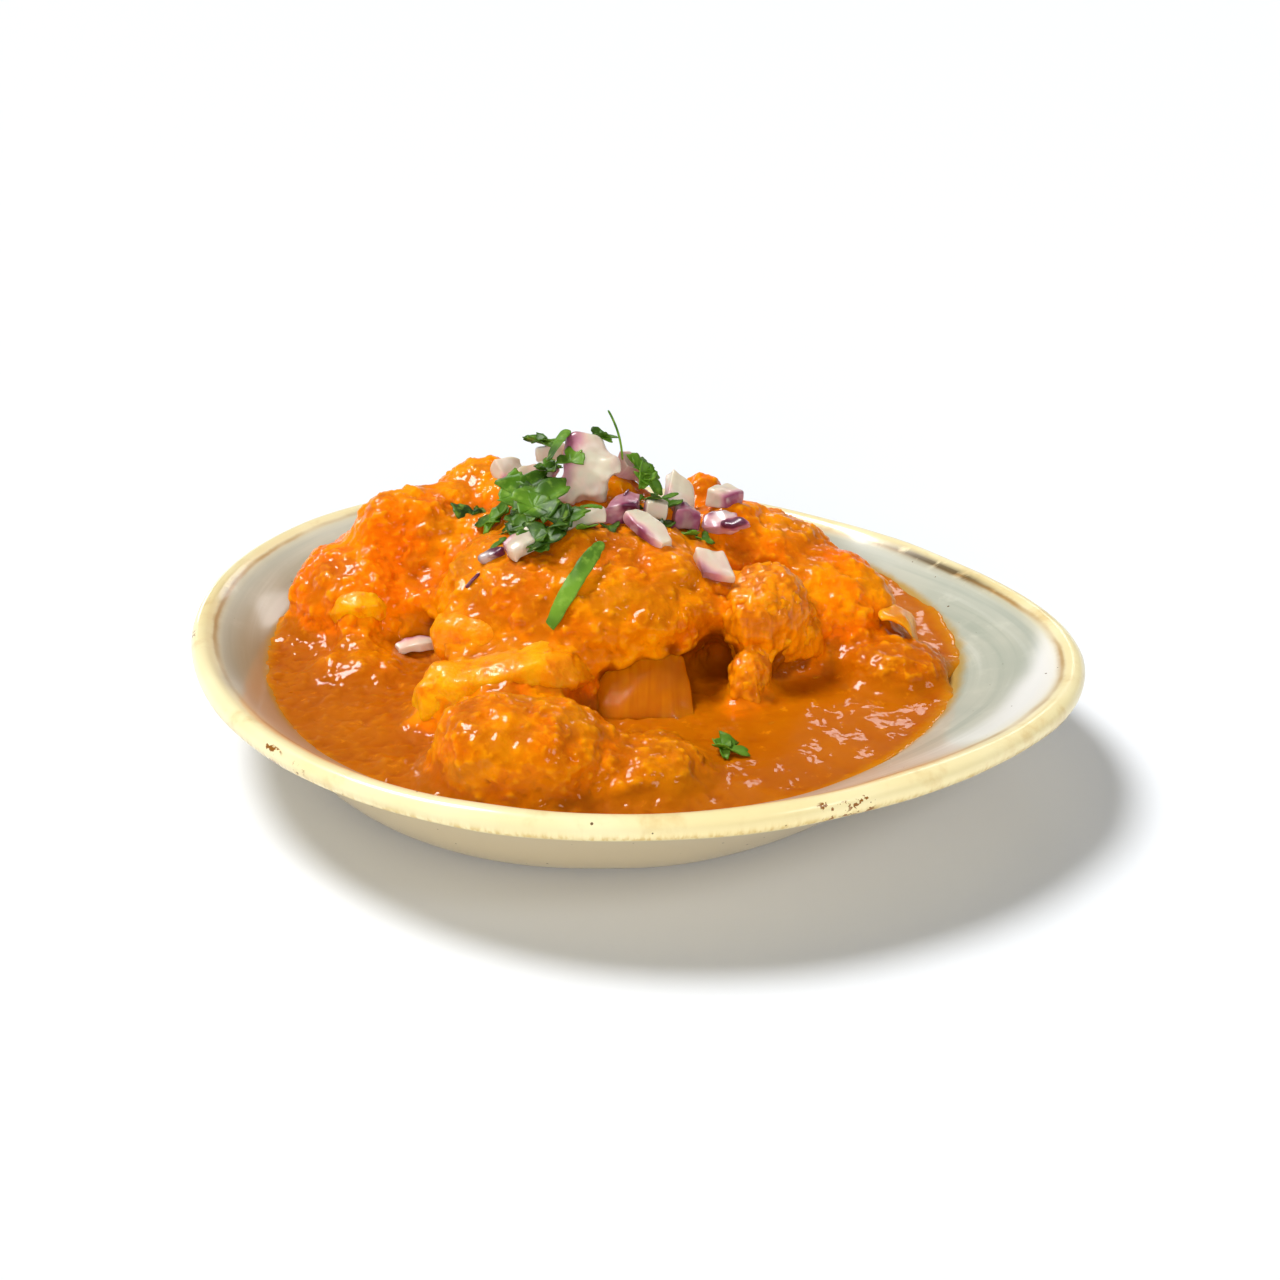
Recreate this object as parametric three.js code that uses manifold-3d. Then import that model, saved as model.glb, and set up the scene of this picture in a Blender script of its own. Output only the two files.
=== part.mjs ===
// A bowl of mango chicken curry: an egg-shaped stoneware bowl with a rolled rim, filled with curry
// sauce, sauced chicken, soft mango and cooked onion petals, and topped with raw red onion and coriander.
// Millimetres, +Z up, +X to the right of the diner, +Y away from the diner. The bowl stands on z = 0
// with the middle of its plan on the Z axis.

import * as THREE from 'three';
import { mergeVertices } from 'three/addons/utils/BufferGeometryUtils.js';
import Module from 'manifold-3d';

const wasm = await Module();
wasm.setup();

// ---------------------------------------------------------------- driving dimensions

const GAP = 0.3;                    // clearance between pieces that touch
const SEGMENTS = 42;                // steps round the bowl

// The rim, seen from above: a round of this radius, stretched to an oval, with a pouring lip.
const RIM_RADIUS = 114.3;           // middle of the rolled rim
const RIM_HEIGHT = 30.7;
const ROLL_RADIUS = 3.3;            // half the thickness of the rolled rim
const OVAL_STRETCH = 6.3;           // the oval's long radius over the mean
const OVAL_BEARING = -38;           // degrees from +X, towards the front right
const EGG_STRETCH = 1.3;
const EGG_BEARING = 3;
const RIM_SHIFT_Y = 0.7;
const LIP_REACH = 11.6;             // how far the lip stands out of the oval
const LIP_BEARING = -15;
const LIP_WIDTH = 26.4;             // degrees from the tip to where the lip has faded
const RIM_TILT = 1.4;               // the hand-made rim is not quite level
const RIM_TILT_BEARING = -109;
const RIM_SADDLE = 1.0;             // the rim rises at both ends of the oval

const FOOT_OUTER = 80;
const FOOT_INNER = 72;
const FOOT_RECESS = 1.4;
const FLOOR_HEIGHT = 5.2;           // top of the bowl's floor

// The sauce: a pool that is nearly round, because the oval only opens out above it.
const POOL_RADIUS = 97;
const POOL_LEVEL = 24.1;
const POOL_OVAL = 1.5;              // the pool's long radius over the mean, along Y
const POOL_SHIFT_X = 2;
const POOL_SHIFT_Y = 1;
const RIPPLE = 0.7;                 // height of the lumps in the sauce

const SUNK_LEVEL = 19;              // flat underside of the pieces that lie in the thick sauce
const CLEAR_HEIGHT = 120;           // a height above everything in the bowl

const radians = THREE.MathUtils.degToRad;
const smooth = THREE.MathUtils.smoothstep;
const blend = THREE.MathUtils.lerp;

// ---------------------------------------------------------------- seeded bumps

function scatter(ix, iy, iz, seed) {
  const wave = Math.sin(ix * 127.1 + iy * 311.7 + iz * 74.7 + seed * 53.3) * 43758.5453;
  return (wave - Math.floor(wave)) * 2 - 1;
}

// Smooth noise from -1 to 1 at a point, with one bump to each unit of length.
function bump(x, y, z, seed) {
  const [ix, iy, iz] = [Math.floor(x), Math.floor(y), Math.floor(z)];
  const [fx, fy, fz] = [smooth(x - ix, 0, 1), smooth(y - iy, 0, 1), smooth(z - iz, 0, 1)];
  const edge = (j, k) => blend(scatter(ix, iy + j, iz + k, seed), scatter(ix + 1, iy + j, iz + k, seed), fx);
  const side = (k) => blend(edge(0, k), edge(1, k), fy);
  return blend(side(0), side(1), fz);
}

// ---------------------------------------------------------------- meshes and solids

function weld(geometry) {
  geometry.deleteAttribute('normal');
  geometry.deleteAttribute('uv');
  return mergeVertices(geometry, 1e-4);
}

// Moves every vertex of a geometry to where the rule says.
function shape(geometry, rule) {
  const places = geometry.attributes.position;
  const place = new THREE.Vector3();
  for (let i = 0; i < places.count; i += 1) {
    place.fromBufferAttribute(places, i);
    rule(place, i);
    places.setXYZ(i, place.x, place.y, place.z);
  }
  return geometry;
}

function toSolid(geometry) {
  const vertProperties = new Float32Array(geometry.attributes.position.array);
  const triVerts = new Uint32Array(geometry.index.array);
  return new wasm.Manifold(new wasm.Mesh({ numProp: 3, vertProperties, triVerts }));
}

function toGeometry(solid) {
  const mesh = solid.getMesh();
  const geometry = new THREE.BufferGeometry();
  geometry.setAttribute('position', new THREE.BufferAttribute(mesh.vertProperties, 3));
  geometry.setIndex(new THREE.BufferAttribute(mesh.triVerts, 1));
  return geometry;
}

function finish(colour, roughness) {
  return new THREE.MeshStandardMaterial({ color: colour, roughness, metalness: 0 });
}

const table = new THREE.Group();
const made = [];                    // every food mesh so far, in world coordinates

// Adds a piece to the bowl: its geometry is kept round its own middle, and its place is the mesh's position.
function serve(name, geometry, material) {
  geometry.computeBoundingBox();
  const middle = geometry.boundingBox.getCenter(new THREE.Vector3());
  geometry.translate(-middle.x, -middle.y, -middle.z);
  geometry.computeVertexNormals();
  const mesh = new THREE.Mesh(geometry, material.clone());
  mesh.name = name;
  mesh.position.copy(middle);
  mesh.updateMatrixWorld(true);
  mesh.userData.reach = new THREE.Box3().setFromObject(mesh);
  table.add(mesh);
  return mesh;
}

// ---------------------------------------------------------------- the bowl

function rimStretch(angle) {
  const fromLip = Math.atan2(Math.sin(angle - radians(LIP_BEARING)), Math.cos(angle - radians(LIP_BEARING)));
  const oval = OVAL_STRETCH * Math.cos(2 * (angle - radians(OVAL_BEARING)));
  const egg = EGG_STRETCH * Math.cos(3 * (angle - radians(EGG_BEARING)));
  const lip = LIP_REACH * Math.exp(-((fromLip / radians(LIP_WIDTH)) ** 2));
  return oval + egg + lip + RIM_SHIFT_Y * Math.sin(angle);
}

function rimLift(angle) {
  const tilt = RIM_TILT * Math.cos(angle - radians(RIM_TILT_BEARING));
  return tilt + RIM_SADDLE * Math.cos(2 * (angle - radians(OVAL_BEARING)));
}

function poolStretch(angle) {
  return POOL_SHIFT_X * Math.cos(angle) + POOL_SHIFT_Y * Math.sin(angle) - POOL_OVAL * Math.cos(2 * angle);
}

// The inner wall, from the middle of the floor to the roll, and the outer wall, from the roll to the foot.
const INNER_WALL = [
  [0, FLOOR_HEIGHT], [48, FLOOR_HEIGHT], [72, 6.2], [86, 11], [93, 17.4],
  [POOL_RADIUS, POOL_LEVEL], [103.8, 28.4],
];
const OUTER_WALL = [
  [110, 25.8], [104, 21.4], [98, 14.8], [92.5, 8.6], [88, 4.3], [84, 1.6], [FOOT_OUTER, 0], [FOOT_INNER, 0],
  [FOOT_INNER - 2, FOOT_RECESS], [0, FOOT_RECESS],
];

// Where a point of the inner wall really is, at an angle round the bowl.
function innerPlace(radius, height, angle, target) {
  const upTheWall = THREE.MathUtils.clamp((radius - POOL_RADIUS) / (RIM_RADIUS - POOL_RADIUS), 0, 1);
  const offTheFloor = smooth(radius, 50, POOL_RADIUS);
  const stretch = offTheFloor * blend(poolStretch(angle), rimStretch(angle), upTheWall);
  const far = radius + stretch;
  return target.set(far * Math.cos(angle), far * Math.sin(angle), height + upTheWall * rimLift(angle));
}

function outerPlace(radius, height, angle, target) {
  const share = smooth(height, 2, RIM_HEIGHT - 4);
  const far = radius + share * rimStretch(angle);
  return target.set(far * Math.cos(angle), far * Math.sin(angle), height + share * rimLift(angle));
}

// Turns a list of [radius, height] into a closed body of revolution, then moves each point by its own rule.
function turned(profile, place, segments = SEGMENTS) {
  const outline = profile.map(([radius, height]) => new THREE.Vector2(radius, height));
  const lathe = new THREE.LatheGeometry(outline, segments);
  shape(lathe, (point, i) => {
    const angle = (Math.floor(i / profile.length) % segments) * 2 * Math.PI / segments;
    place(i % profile.length, angle, point);
  });
  return weld(lathe);
}

function makeBowl() {
  const roll = [];
  for (const turn of [148, 110, 72, 34, -4, -45, -88]) {
    const radius = RIM_RADIUS + ROLL_RADIUS * Math.cos(radians(turn));
    roll.push([radius, RIM_HEIGHT + ROLL_RADIUS * Math.sin(radians(turn))]);
  }
  const profile = [...INNER_WALL, ...roll, ...OUTER_WALL].reverse();
  const outerEnd = OUTER_WALL.length;
  const rollEnd = outerEnd + roll.length;
  return turned(profile, (row, angle, point) => {
    const [radius, height] = profile[row];
    if (row < outerEnd) {
      outerPlace(radius, height, angle, point);
    } else if (row < rollEnd) {
      const far = radius + rimStretch(angle);
      point.set(far * Math.cos(angle), far * Math.sin(angle), height + rimLift(angle));
    } else {
      innerPlace(radius, height, angle, point);
    }
  });
}

// The inner wall moved inwards by a clearance, as far up as the given number of its points.
function insetWall(count) {
  return INNER_WALL.slice(0, count).map(([radius, height], i) => {
    const [nextRadius, nextHeight] = INNER_WALL[Math.min(i + 1, INNER_WALL.length - 1)];
    const [lastRadius, lastHeight] = INNER_WALL[Math.max(i - 1, 0)];
    const slope = Math.atan2(nextHeight - lastHeight, nextRadius - lastRadius);
    const inset = GAP * 1.25;
    return [Math.max(radius - inset * Math.sin(slope), 0), height + inset * Math.cos(slope)];
  });
}

// ---------------------------------------------------------------- the sauce

function sauceLevel(x, y) {
  const broad = bump(x / 17, y / 13, 0.5, 71);
  const fine = bump(x / 7, y / 6, 3.5, 72);
  return RIPPLE * (broad + 0.45 * fine);
}

// The underside follows the bowl's wall up to the pool's edge, leaving out two points that add little.
function makeSauce() {
  const wall = insetWall(6).filter((point, i) => i !== 1 && i !== 3);
  const edgeRadius = wall[wall.length - 1][0];
  const rings = [0.95, 0.88, 0.8, 0.7, 0.5, 0].map((share) => [edgeRadius * share, POOL_LEVEL]);
  const profile = [...wall, ...rings];
  return turned(profile, (row, angle, point) => {
    const [radius, height] = profile[row];
    innerPlace(radius, height, angle, point);
    if (row >= wall.length) {
      const calm = 1 - smooth(radius / edgeRadius, 0.86, 1);
      point.z = POOL_LEVEL - GAP + calm * sauceLevel(point.x, point.y);
    }
  });
}

// The room inside the bowl, which the pieces that lean on the wall are trimmed to.
function makeRoom() {
  const wall = insetWall(INNER_WALL.length);
  const profile = [...wall, [POOL_RADIUS + 12, CLEAR_HEIGHT], [0, CLEAR_HEIGHT]];
  return turned(profile, (row, angle, point) => {
    const [radius, height] = profile[row];
    innerPlace(radius, height, angle, point);
  });
}

// ---------------------------------------------------------------- chicken, mango and cooked onion

// A lump is a rounded block of the given half sizes, swollen by round lobes and roughened by seeded bumps.
// Every point of it is reached by one straight line from its middle, so that growing it keeps it closed.
function lumpRadius(way, lump) {
  const [a, b, c] = lump.half;
  const power = lump.square ?? 2.4;
  const sum = Math.abs(way.x / a) ** power + Math.abs(way.y / b) ** power + Math.abs(way.z / c) ** power;
  let radius = sum ** (-1 / power);
  for (const [x, y, z, size] of lump.lobes ?? []) {
    const along = way.x * x + way.y * y + way.z * z;
    const inside = along * along - (x * x + y * y + z * z) + size * size;
    if (inside > 0) {
      radius = Math.max(radius, along + Math.sqrt(inside));
    }
  }
  return radius;
}

function makeLump(lump, grow = 0) {
  const sphere = new THREE.SphereGeometry(1, lump.columns ?? 16, lump.rows ?? 11);
  const turn = new THREE.Euler(...(lump.turn ?? [0, 0, 0]).map(radians));
  const rough = lump.rough ?? 1.3;
  const grain = lump.grain ?? [1, 1, 1];
  shape(sphere, (point) => {
    const polar = Math.PI * (Math.acos(THREE.MathUtils.clamp(point.y, -1, 1)) / Math.PI) ** 1.2;
    const round = Math.atan2(point.z, point.x);
    point.set(Math.sin(polar) * Math.cos(round), -Math.sin(polar) * Math.sin(round), Math.cos(polar));
    const radius = lumpRadius(point, lump);
    const [x, y, z] = [point.x * radius * grain[0], point.y * radius * grain[1], point.z * radius * grain[2]];
    const broad = bump(x / 9, y / 9, z / 9, lump.seed);
    const fine = bump(x / 5, y / 5, z / 5, lump.seed + 7);
    point.multiplyScalar(radius + rough * (broad + 0.6 * fine) + grow);
    point.applyEuler(turn);
    point.add(new THREE.Vector3(...lump.at));
    point.z = Math.max(point.z, (lump.under ?? SUNK_LEVEL) - grow);
  });
  return weld(sphere);
}

// Listed from the pieces that lie on top to those that carry them: each is hollowed where a higher one lies.
const LUMPS = {
  mango_slice: {
    at: [-26, -43, 30.5], half: [25, 12, 7.5], turn: [-24, -13, 3], square: 2.6, rough: 0.7, seed: 11,
    lobes: [[-14, -3, 1, 9], [14, 2, 1, 9]], tone: 'mango', columns: 16, rows: 10,
  },
  chicken_front: {
    at: [-18, -76, 26.5], half: [21, 16, 14.5], turn: [0, 8, 8], square: 2.9, rough: 1.3, seed: 12,
    lobes: [[10, 2, 4, 11], [-8, 1, 2, 12]], columns: 18, rows: 11,
  },
  chicken_fibrous: {
    at: [45, -17, 38], half: [12, 12, 14], turn: [10, -8, 20], square: 2.7, rough: 1.4, seed: 13,
    lobes: [[-3, -3, 4, 11], [6, -3, -5, 9]], under: 25, columns: 16, rows: 11, grain: [1.5, 1, 0.5],
  },
  chicken_shreds: {
    at: [40, -33, 29.5], half: [5, 13, 4.5], turn: [40, 0, -14], square: 2.2, rough: 0.9, seed: 27,
    under: 22, columns: 10, rows: 8, grain: [2.5, 0.6, 1],
  },
  chicken_right: {
    at: [65, 2, 35], half: [17, 15, 11], turn: [14, 12, 8], square: 2.5, rough: 1.5, seed: 14,
    lobes: [[7, 0, 1, 9], [-6, -6, -2, 11], [3, 6, 2, 10]], under: 21, columns: 18, rows: 11,
  },
  chicken_back_left: {
    at: [-56, 30, 43], half: [17, 17, 15], turn: [0, 8, -10], square: 2.2, rough: 1.4, seed: 15,
    lobes: [[-6, -5, 3, 12], [7, 3, 1, 12], [4, -9, -6, 11]], under: 21, columns: 18, rows: 11,
  },
  mango_lobe: {
    at: [-32, -26, 36], half: [15, 9, 8], turn: [-10, 6, -8], square: 2.2, rough: 0.7, seed: 16,
    lobes: [[-8, 0, 0, 7]], under: 25, tone: 'mango', columns: 14, rows: 9,
  },
  mango_left: {
    at: [-69, 4, 31.5], half: [9, 14, 6], turn: [-24, -10, -14], square: 2.6, rough: 0.5, seed: 17,
    under: 18, tone: 'mango', columns: 14, rows: 9,
  },
  chicken_front_small: {
    at: [12, -76, 23.5], half: [14, 13, 8], turn: [0, -4, 12], square: 2.6, rough: 1.2, seed: 18,
    columns: 14, rows: 9,
  },
  chicken_crown: {
    at: [-6, 21, 47], half: [28, 23, 15], turn: [0, 3, 0], square: 2.3, rough: 1.2, seed: 19,
    lobes: [[-13, 2, 1, 14], [6, 3, 4, 14], [14, -3, 1, 13]], under: 27, columns: 18, rows: 10,
  },
  chicken_back_top: {
    at: [-37, 46, 46], half: [14, 14, 16], turn: [0, 0, 20], square: 2.2, rough: 1.3, seed: 20,
    under: 21, columns: 16, rows: 10,
  },
  chicken_peek: {
    at: [30, 44, 48], half: [7, 9, 10], square: 2.1, rough: 0.8, seed: 21, under: 28, columns: 12, rows: 8,
  },
  chicken_back_right: {
    at: [47, 19, 39], half: [21, 19, 16], turn: [0, 24, -8], square: 2.3, rough: 1.5, seed: 22,
    lobes: [[-11, -3, 2, 14], [6, 3, -1, 12]], under: 21, columns: 18, rows: 10,
  },
  chicken_centre: {
    at: [-4, -8, 42], half: [38, 30, 15], turn: [9, 0, 0], square: 2.5, rough: 1.5, seed: 23,
    lobes: [[-24, 2, -6, 19], [19, -4, -1, 17], [0, 0, 2, 16], [2, 9, -10, 24]],
    under: 21, columns: 20, rows: 12,
  },
  chicken_left: {
    at: [-69, 19, 31], half: [22, 26, 14], turn: [0, 8, -16], square: 2.3, rough: 1.4, seed: 24,
    lobes: [[4, -12, -4, 14], [0, 8, 2, 14]], under: 22, columns: 16, rows: 9,
  },
  chicken_low_right: {
    at: [80, -21, 23.5], half: [15, 15, 8.5], turn: [0, 4, 20], square: 2.4, rough: 1, seed: 25,
    columns: 14, rows: 9,
  },
  chicken_low_left: {
    at: [-67, -20, 20.5], half: [17, 13, 7], turn: [0, 0, -16], square: 2.4, rough: 1.1, seed: 26,
    columns: 14, rows: 8,
  },
};

// ---------------------------------------------------------------- thin pieces

// A thin block with both faces split alike, bent by a rule that is given each point and how far out it
// is, from -1 to 1, along the block's width and its depth.
function makeSheet([width, depth, thickness], [across, along], rule) {
  const block = new THREE.BoxGeometry(width, depth, thickness, across, along, 1);
  return weld(shape(block, (point) => rule(point, 2 * point.x / width, 2 * point.y / depth)));
}

// A die of raw onion: a square cut from a curved layer, with no cut quite parallel to another.
function makeDie(size, curve, seed) {
  const [width, depth, thickness] = size;
  const slant = (k) => 0.16 * scatter(seed, k, 0, 5);
  return makeSheet(size, [2, 2], (point, u, v) => {
    const side = Math.sign(point.z);
    point.x += width * (slant(1) * v + 0.5 * slant(2) * u * v);
    point.y += depth * (slant(3) * u + 0.5 * slant(4) * u * v);
    point.z += thickness * slant(5) * side * v - curve * u * u;
  });
}

// A long sliver of an onion layer that narrows to its ends.
function makeSliver(size, curve, points) {
  return makeSheet(size, [4, 1], (point, u, v) => {
    point.y *= 1 - points * u * u;
    point.z += -curve * u * u + 0.25 * curve * v * v;
  });
}

// A stretch of leaf or stalk cut as a strip, bent along its length and twisted.
function makeStrip(size, bend, twist) {
  return makeSheet(size, [7, 1], (point, u) => {
    const turn = radians(twist) * u;
    const [across, up] = [point.y * (1 - 0.45 * u ** 4), point.z];
    point.y = across * Math.cos(turn) - up * Math.sin(turn);
    point.z = across * Math.sin(turn) + up * Math.cos(turn) - bend * u * u;
  });
}

const LEAF_THICKNESS = 0.7;
const LEAF_STEPS = 12;              // steps round a leaflet's edge

// A leaflet: a thin round with pointed lobes, pinched at its stalk, cupped and waved.
function makeLeaf([length, width], lobes, cup, seed) {
  const half = LEAF_THICKNESS / 2;
  const profile = [[0, -half], [0.52, -half], [1, -half], [1, half], [0.52, half], [0, half]];
  return turned(profile, (row, angle, point) => {
    const [share, height] = profile[row];
    const stalk = 1 - 0.5 * Math.exp(-(((angle - Math.PI) / 0.6) ** 2));
    const ragged = 1 + 0.1 * scatter(Math.round(angle * 10), lobes, 0, seed);
    const reach = share * stalk * ragged * (0.8 + 0.2 * Math.cos(lobes * angle));
    const wave = 0.09 * width * Math.sin(3 * angle + seed) * share;
    point.x = 0.5 * length * reach * Math.cos(angle);
    point.y = 0.5 * width * reach * Math.sin(angle);
    const [along, across] = [2 * point.x / length, 2 * point.y / width];
    point.z = height + wave + cup * (across ** 2 - 0.5 * along ** 2);
  }, LEAF_STEPS);
}

const TONES = {
  chicken: finish('#d2670c', 0.35),
  mango: finish('#f09a10', 0.3),
  cooked: finish('#c97a12', 0.25),
};

const COOKED_THICKNESS = 1.8;

// The soft onion petal that slides from under the heap into the sauce, in front.
function makeCookedPetal(grow = 0) {
  const size = [30 + 2 * grow, 21 + 2 * grow, COOKED_THICKNESS + 2 * grow];
  const petal = makeSheet(size, [6, 4], (point, u, v) => {
    point.x *= 0.86 - 0.14 * v;
    point.z -= 3.2 * u * u + 0.8 * v * v;
  });
  petal.rotateX(radians(36));
  petal.rotateZ(radians(-4));
  return petal.translate(10.5, -41, 30.6);
}

// The rolled onion petal at the right, open towards the middle of the bowl.
function makeCookedCurl(grow = 0) {
  const size = [25 + 2 * grow, 12 + 2 * grow, COOKED_THICKNESS + 2 * grow];
  const radius = 6.6;
  const curl = makeSheet(size, [9, 1], (point) => {
    const angle = point.x / radius;
    const reach = radius + point.z - 0.1 * point.y;
    point.x = reach * Math.cos(angle);
    point.z = 1.1 * reach * Math.sin(angle);
  });
  curl.index.array.reverse();
  curl.rotateZ(radians(-14));
  return curl.translate(80.5, -8, 26.8);
}

function makeFood() {
  const pieces = {
    onion_cooked_petal: { tone: 'cooked', make: makeCookedPetal },
    onion_cooked_curl: { tone: 'cooked', make: makeCookedCurl },
  };
  for (const [name, lump] of Object.entries(LUMPS)) {
    pieces[name] = { tone: lump.tone ?? 'chicken', make: (grow) => makeLump(lump, grow) };
  }
  const room = toSolid(makeRoom());
  const grown = [];
  let sauce = toSolid(makeSauce());
  for (const [name, { tone, make }] of Object.entries(pieces)) {
    let solid = toSolid(make(0)).intersect(room);
    for (const above of grown) {
      solid = solid.subtract(above);
    }
    const cutter = toSolid(make(GAP * 1.3));
    grown.push(cutter);
    sauce = sauce.subtract(cutter);
    made.push(serve(name, toGeometry(solid), TONES[tone]));
  }
  made.push(serve('sauce', toGeometry(sauce), finish('#b8560a', 0.2)));
}

// ---------------------------------------------------------------- laying pieces on the heap

const caster = new THREE.Raycaster();
const UP = new THREE.Vector3(0, 0, 1);
const STEEPEST = radians(34);       // a piece on a steeper slope is set no steeper than this
const PROBE = 3;                    // how far apart the slope under a piece is felt

function heightBelow(x, y, pieces = made) {
  caster.set(new THREE.Vector3(x, y, CLEAR_HEIGHT), UP.clone().negate());
  const near = pieces.filter(({ userData: { reach } }) => (
    x > reach.min.x && x < reach.max.x && y > reach.min.y && y < reach.max.y
  ));
  const [hit] = caster.intersectObjects(near, false);
  return hit ? hit.point.z : POOL_LEVEL;
}

// The corners, edge middles and face middles of a geometry, where it could touch what is under it.
function feelers(geometry) {
  const { index, attributes: { position } } = geometry;
  const corner = (i) => new THREE.Vector3().fromBufferAttribute(position, index.getX(i));
  const points = [];
  for (let i = 0; i < geometry.index.count; i += 3) {
    const [a, b, c] = [corner(i), corner(i + 1), corner(i + 2)];
    points.push(a, b, c);
    points.push(a.clone().lerp(b, 0.5), b.clone().lerp(c, 0.5), c.clone().lerp(a, 0.5));
    points.push(a.clone().add(b).add(c).divideScalar(3));
  }
  return points;
}

// Turns a piece to the slope under a place and lowers it until it nearly touches.
function lay(name, geometry, material, [x, y], yaw, [leanX, leanY]) {
  const heap = made.slice(0, heapCount);
  const slopeX = heightBelow(x - PROBE, y, heap) - heightBelow(x + PROBE, y, heap);
  const slopeY = heightBelow(x, y - PROBE, heap) - heightBelow(x, y + PROBE, heap);
  const slope = Math.hypot(slopeX, slopeY) / (2 * PROBE);
  const eased = Math.min(1, Math.tan(STEEPEST) / Math.max(slope, 0.01));
  const normal = new THREE.Vector3(slopeX * eased, slopeY * eased, 2 * PROBE).normalize();
  const lean = new THREE.Euler(radians(leanX), radians(leanY), radians(yaw));
  const turn = new THREE.Quaternion().setFromUnitVectors(UP, normal);
  geometry.applyQuaternion(turn.multiply(new THREE.Quaternion().setFromEuler(lean)));
  geometry.translate(x, y, 0);
  const rise = feelers(geometry).map((point) => heightBelow(point.x, point.y) - point.z);
  geometry.translate(0, 0, Math.max(...rise) + 1.2 * GAP);
  made.push(serve(name, geometry, material));
}

const RAW_ONION = finish('#e6d8cc', 0.3);
const PURPLE_ONION = finish('#a4688f', 0.3);
const CORIANDER = finish('#4b7f2c', 0.45);

// Each die: place on the heap, yaw, lean, size, curve of the layer.
const PURPLE_DICE = [7, 9];
const DICE = [
  [[-29, 38], 20, [0, 0], [8, 7, 4.5], 0.6],
  [[-22, 31], -30, [10, 0], [8, 6, 4.5], 0.5],
  [[-17, 21], 70, [0, 20], [10, 6, 5], 0.6],
  [[-16, 32], 10, [10, 0], [9, 6, 4], 0.5],
  [[-7, -3], 15, [0, 0], [10, 7, 4.5], 0.6],
  [[7, 26], 40, [10, 10], [9, 6, 6], 0.4],
  [[5.6, 5], 8, [10, 0], [8.5, 6.5, 6.5], 0.7],
  [[14.8, 8.2], 10, [0, 0], [6.2, 6.4, 5.5], 0.5],
  [[23.2, 9.5], 25, [0, -10], [6.5, 6.5, 6], 0.6],
  [[22, 22], 5, [35, 0], [9, 11, 4], 0.6],
  [[35, 17], 30, [0, 10], [7.5, 7, 4.5], 0.5],
  [[-22, -14.5], 30, [0, 0], [8, 6.5, 4.5], 0.5],
  [[30, -18.6], 12, [8, 0], [8, 7.6, 4.6], 0.5],
];

// Each sliver: place, yaw, lean, size, curve, how much it narrows.
const SLIVERS = [
  [[12.5, -7.5], -48, [15, 0], [16, 7, 3], 0.9, 0.5],
  [[33.2, 8.5], -8, [0, 0], [10, 6, 3.4], 0.5, 0.35],
  [[37, 2], -25, [0, 0], [9, 3.4, 2.2], 0.4, 0.75],
  [[-53, -9], 22, [0, 0], [12, 6.5, 2.6], 1.3, 0.55],
  [[-35, -19], 30, [0, 0], [5.5, 1.8, 1.4], 0.2, 0.5],
  [[-30, -13], 5, [0, 0], [7, 3.2, 2.2], 0.4, 0.6],
];

// Each leaflet: place, yaw, lean, size, lobes, cup.
const LEAVES = [
  [[-42, 25], 165, [25, 0], [14, 9], 3, 1.2],
  [[-33, 15], 150, [30, 0], [14, 10], 3, 1.2],
  [[-25, 5], 115, [25, 0], [17, 12], 3, 1.4],
  [[-15, 0], 60, [25, 0], [16, 14], 5, 1.6],
  [[-14, -13], -80, [10, 0], [12, 12], 5, 1.2],
  [[-8, -9], -30, [15, 0], [12, 10], 5, 1.2],
  [[-22, 14], 20, [30, 0], [17, 10], 4, 1.2],
  [[-16, 19], 80, [10, 0], [8, 6], 5, 0.9],
  [[-17, 32], 20, [10, 0], [15, 7], 4, 1.2],
  [[1, 25], 30, [0, 0], [8, 6], 3, 0.8],
  [[12, 24], 60, [25, 0], [11, 9], 3, 1.2],
  [[14, 17.5], -30, [20, 0], [10, 8], 3, 1],
  [[33, -67], -20, [0, 0], [12, 8], 5, 1],
];

// Each strip: place, yaw, lean, size, bend, twist.
const STRIPS = [
  [[-13, 13], 68, [0, -15], [15, 4.2, 0.7], 0.6, 20],
  [[-7, -30], 62, [10, 0], [31, 5, 0.7], 4, 16],
  [[-3, -10], 10, [0, 0], [6.5, 2, 1], 0.3, 10],
  [[-29, -6], 60, [0, 0], [7, 3, 1], 0.3, 10],
];

function makeGarnish() {
  SLIVERS.forEach(([place, yaw, lean, size, curve, points], i) => {
    lay(`onion_sliver_${i + 1}`, makeSliver(size, curve, points), RAW_ONION, place, yaw, lean);
  });
  makePetal();
  DICE.forEach(([place, yaw, lean, size, curve], i) => {
    const colour = PURPLE_DICE.includes(i + 1) ? PURPLE_ONION : RAW_ONION;
    lay(`onion_die_${i + 1}`, makeDie(size, curve, i + 1), colour, place, yaw, lean);
  });
  LEAVES.forEach(([place, yaw, lean, size, lobes, cup], i) => {
    lay(`coriander_leaf_${i + 1}`, makeLeaf(size, lobes, cup, i + 1), CORIANDER, place, yaw, lean);
  });
  STRIPS.forEach(([place, yaw, lean, size, bend, twist], i) => {
    lay(`coriander_strip_${i + 1}`, makeStrip(size, bend, twist), CORIANDER, place, yaw, lean);
  });
  lay('coriander_thread', makeStrip([15, 0.9, 0.7], 1, 0), RAW_ONION, [4, 24], 165, [0, 58]);
}

// The large curved petal of raw onion that stands at the top of the garnish.
function makePetal() {
  const [width, height, thickness] = [13.5, 20, 6];
  const petal = makeSheet([width, height, thickness], [4, 4], (point, u, v) => {
    point.x *= 1 - 0.22 * v * v + 0.1 * u * v;
    point.z -= 1.6 * u * u + 1.2 * v * v;
  });
  lay('onion_petal', petal, RAW_ONION, [-5, 12], 8, [36, 0]);
}

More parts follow.
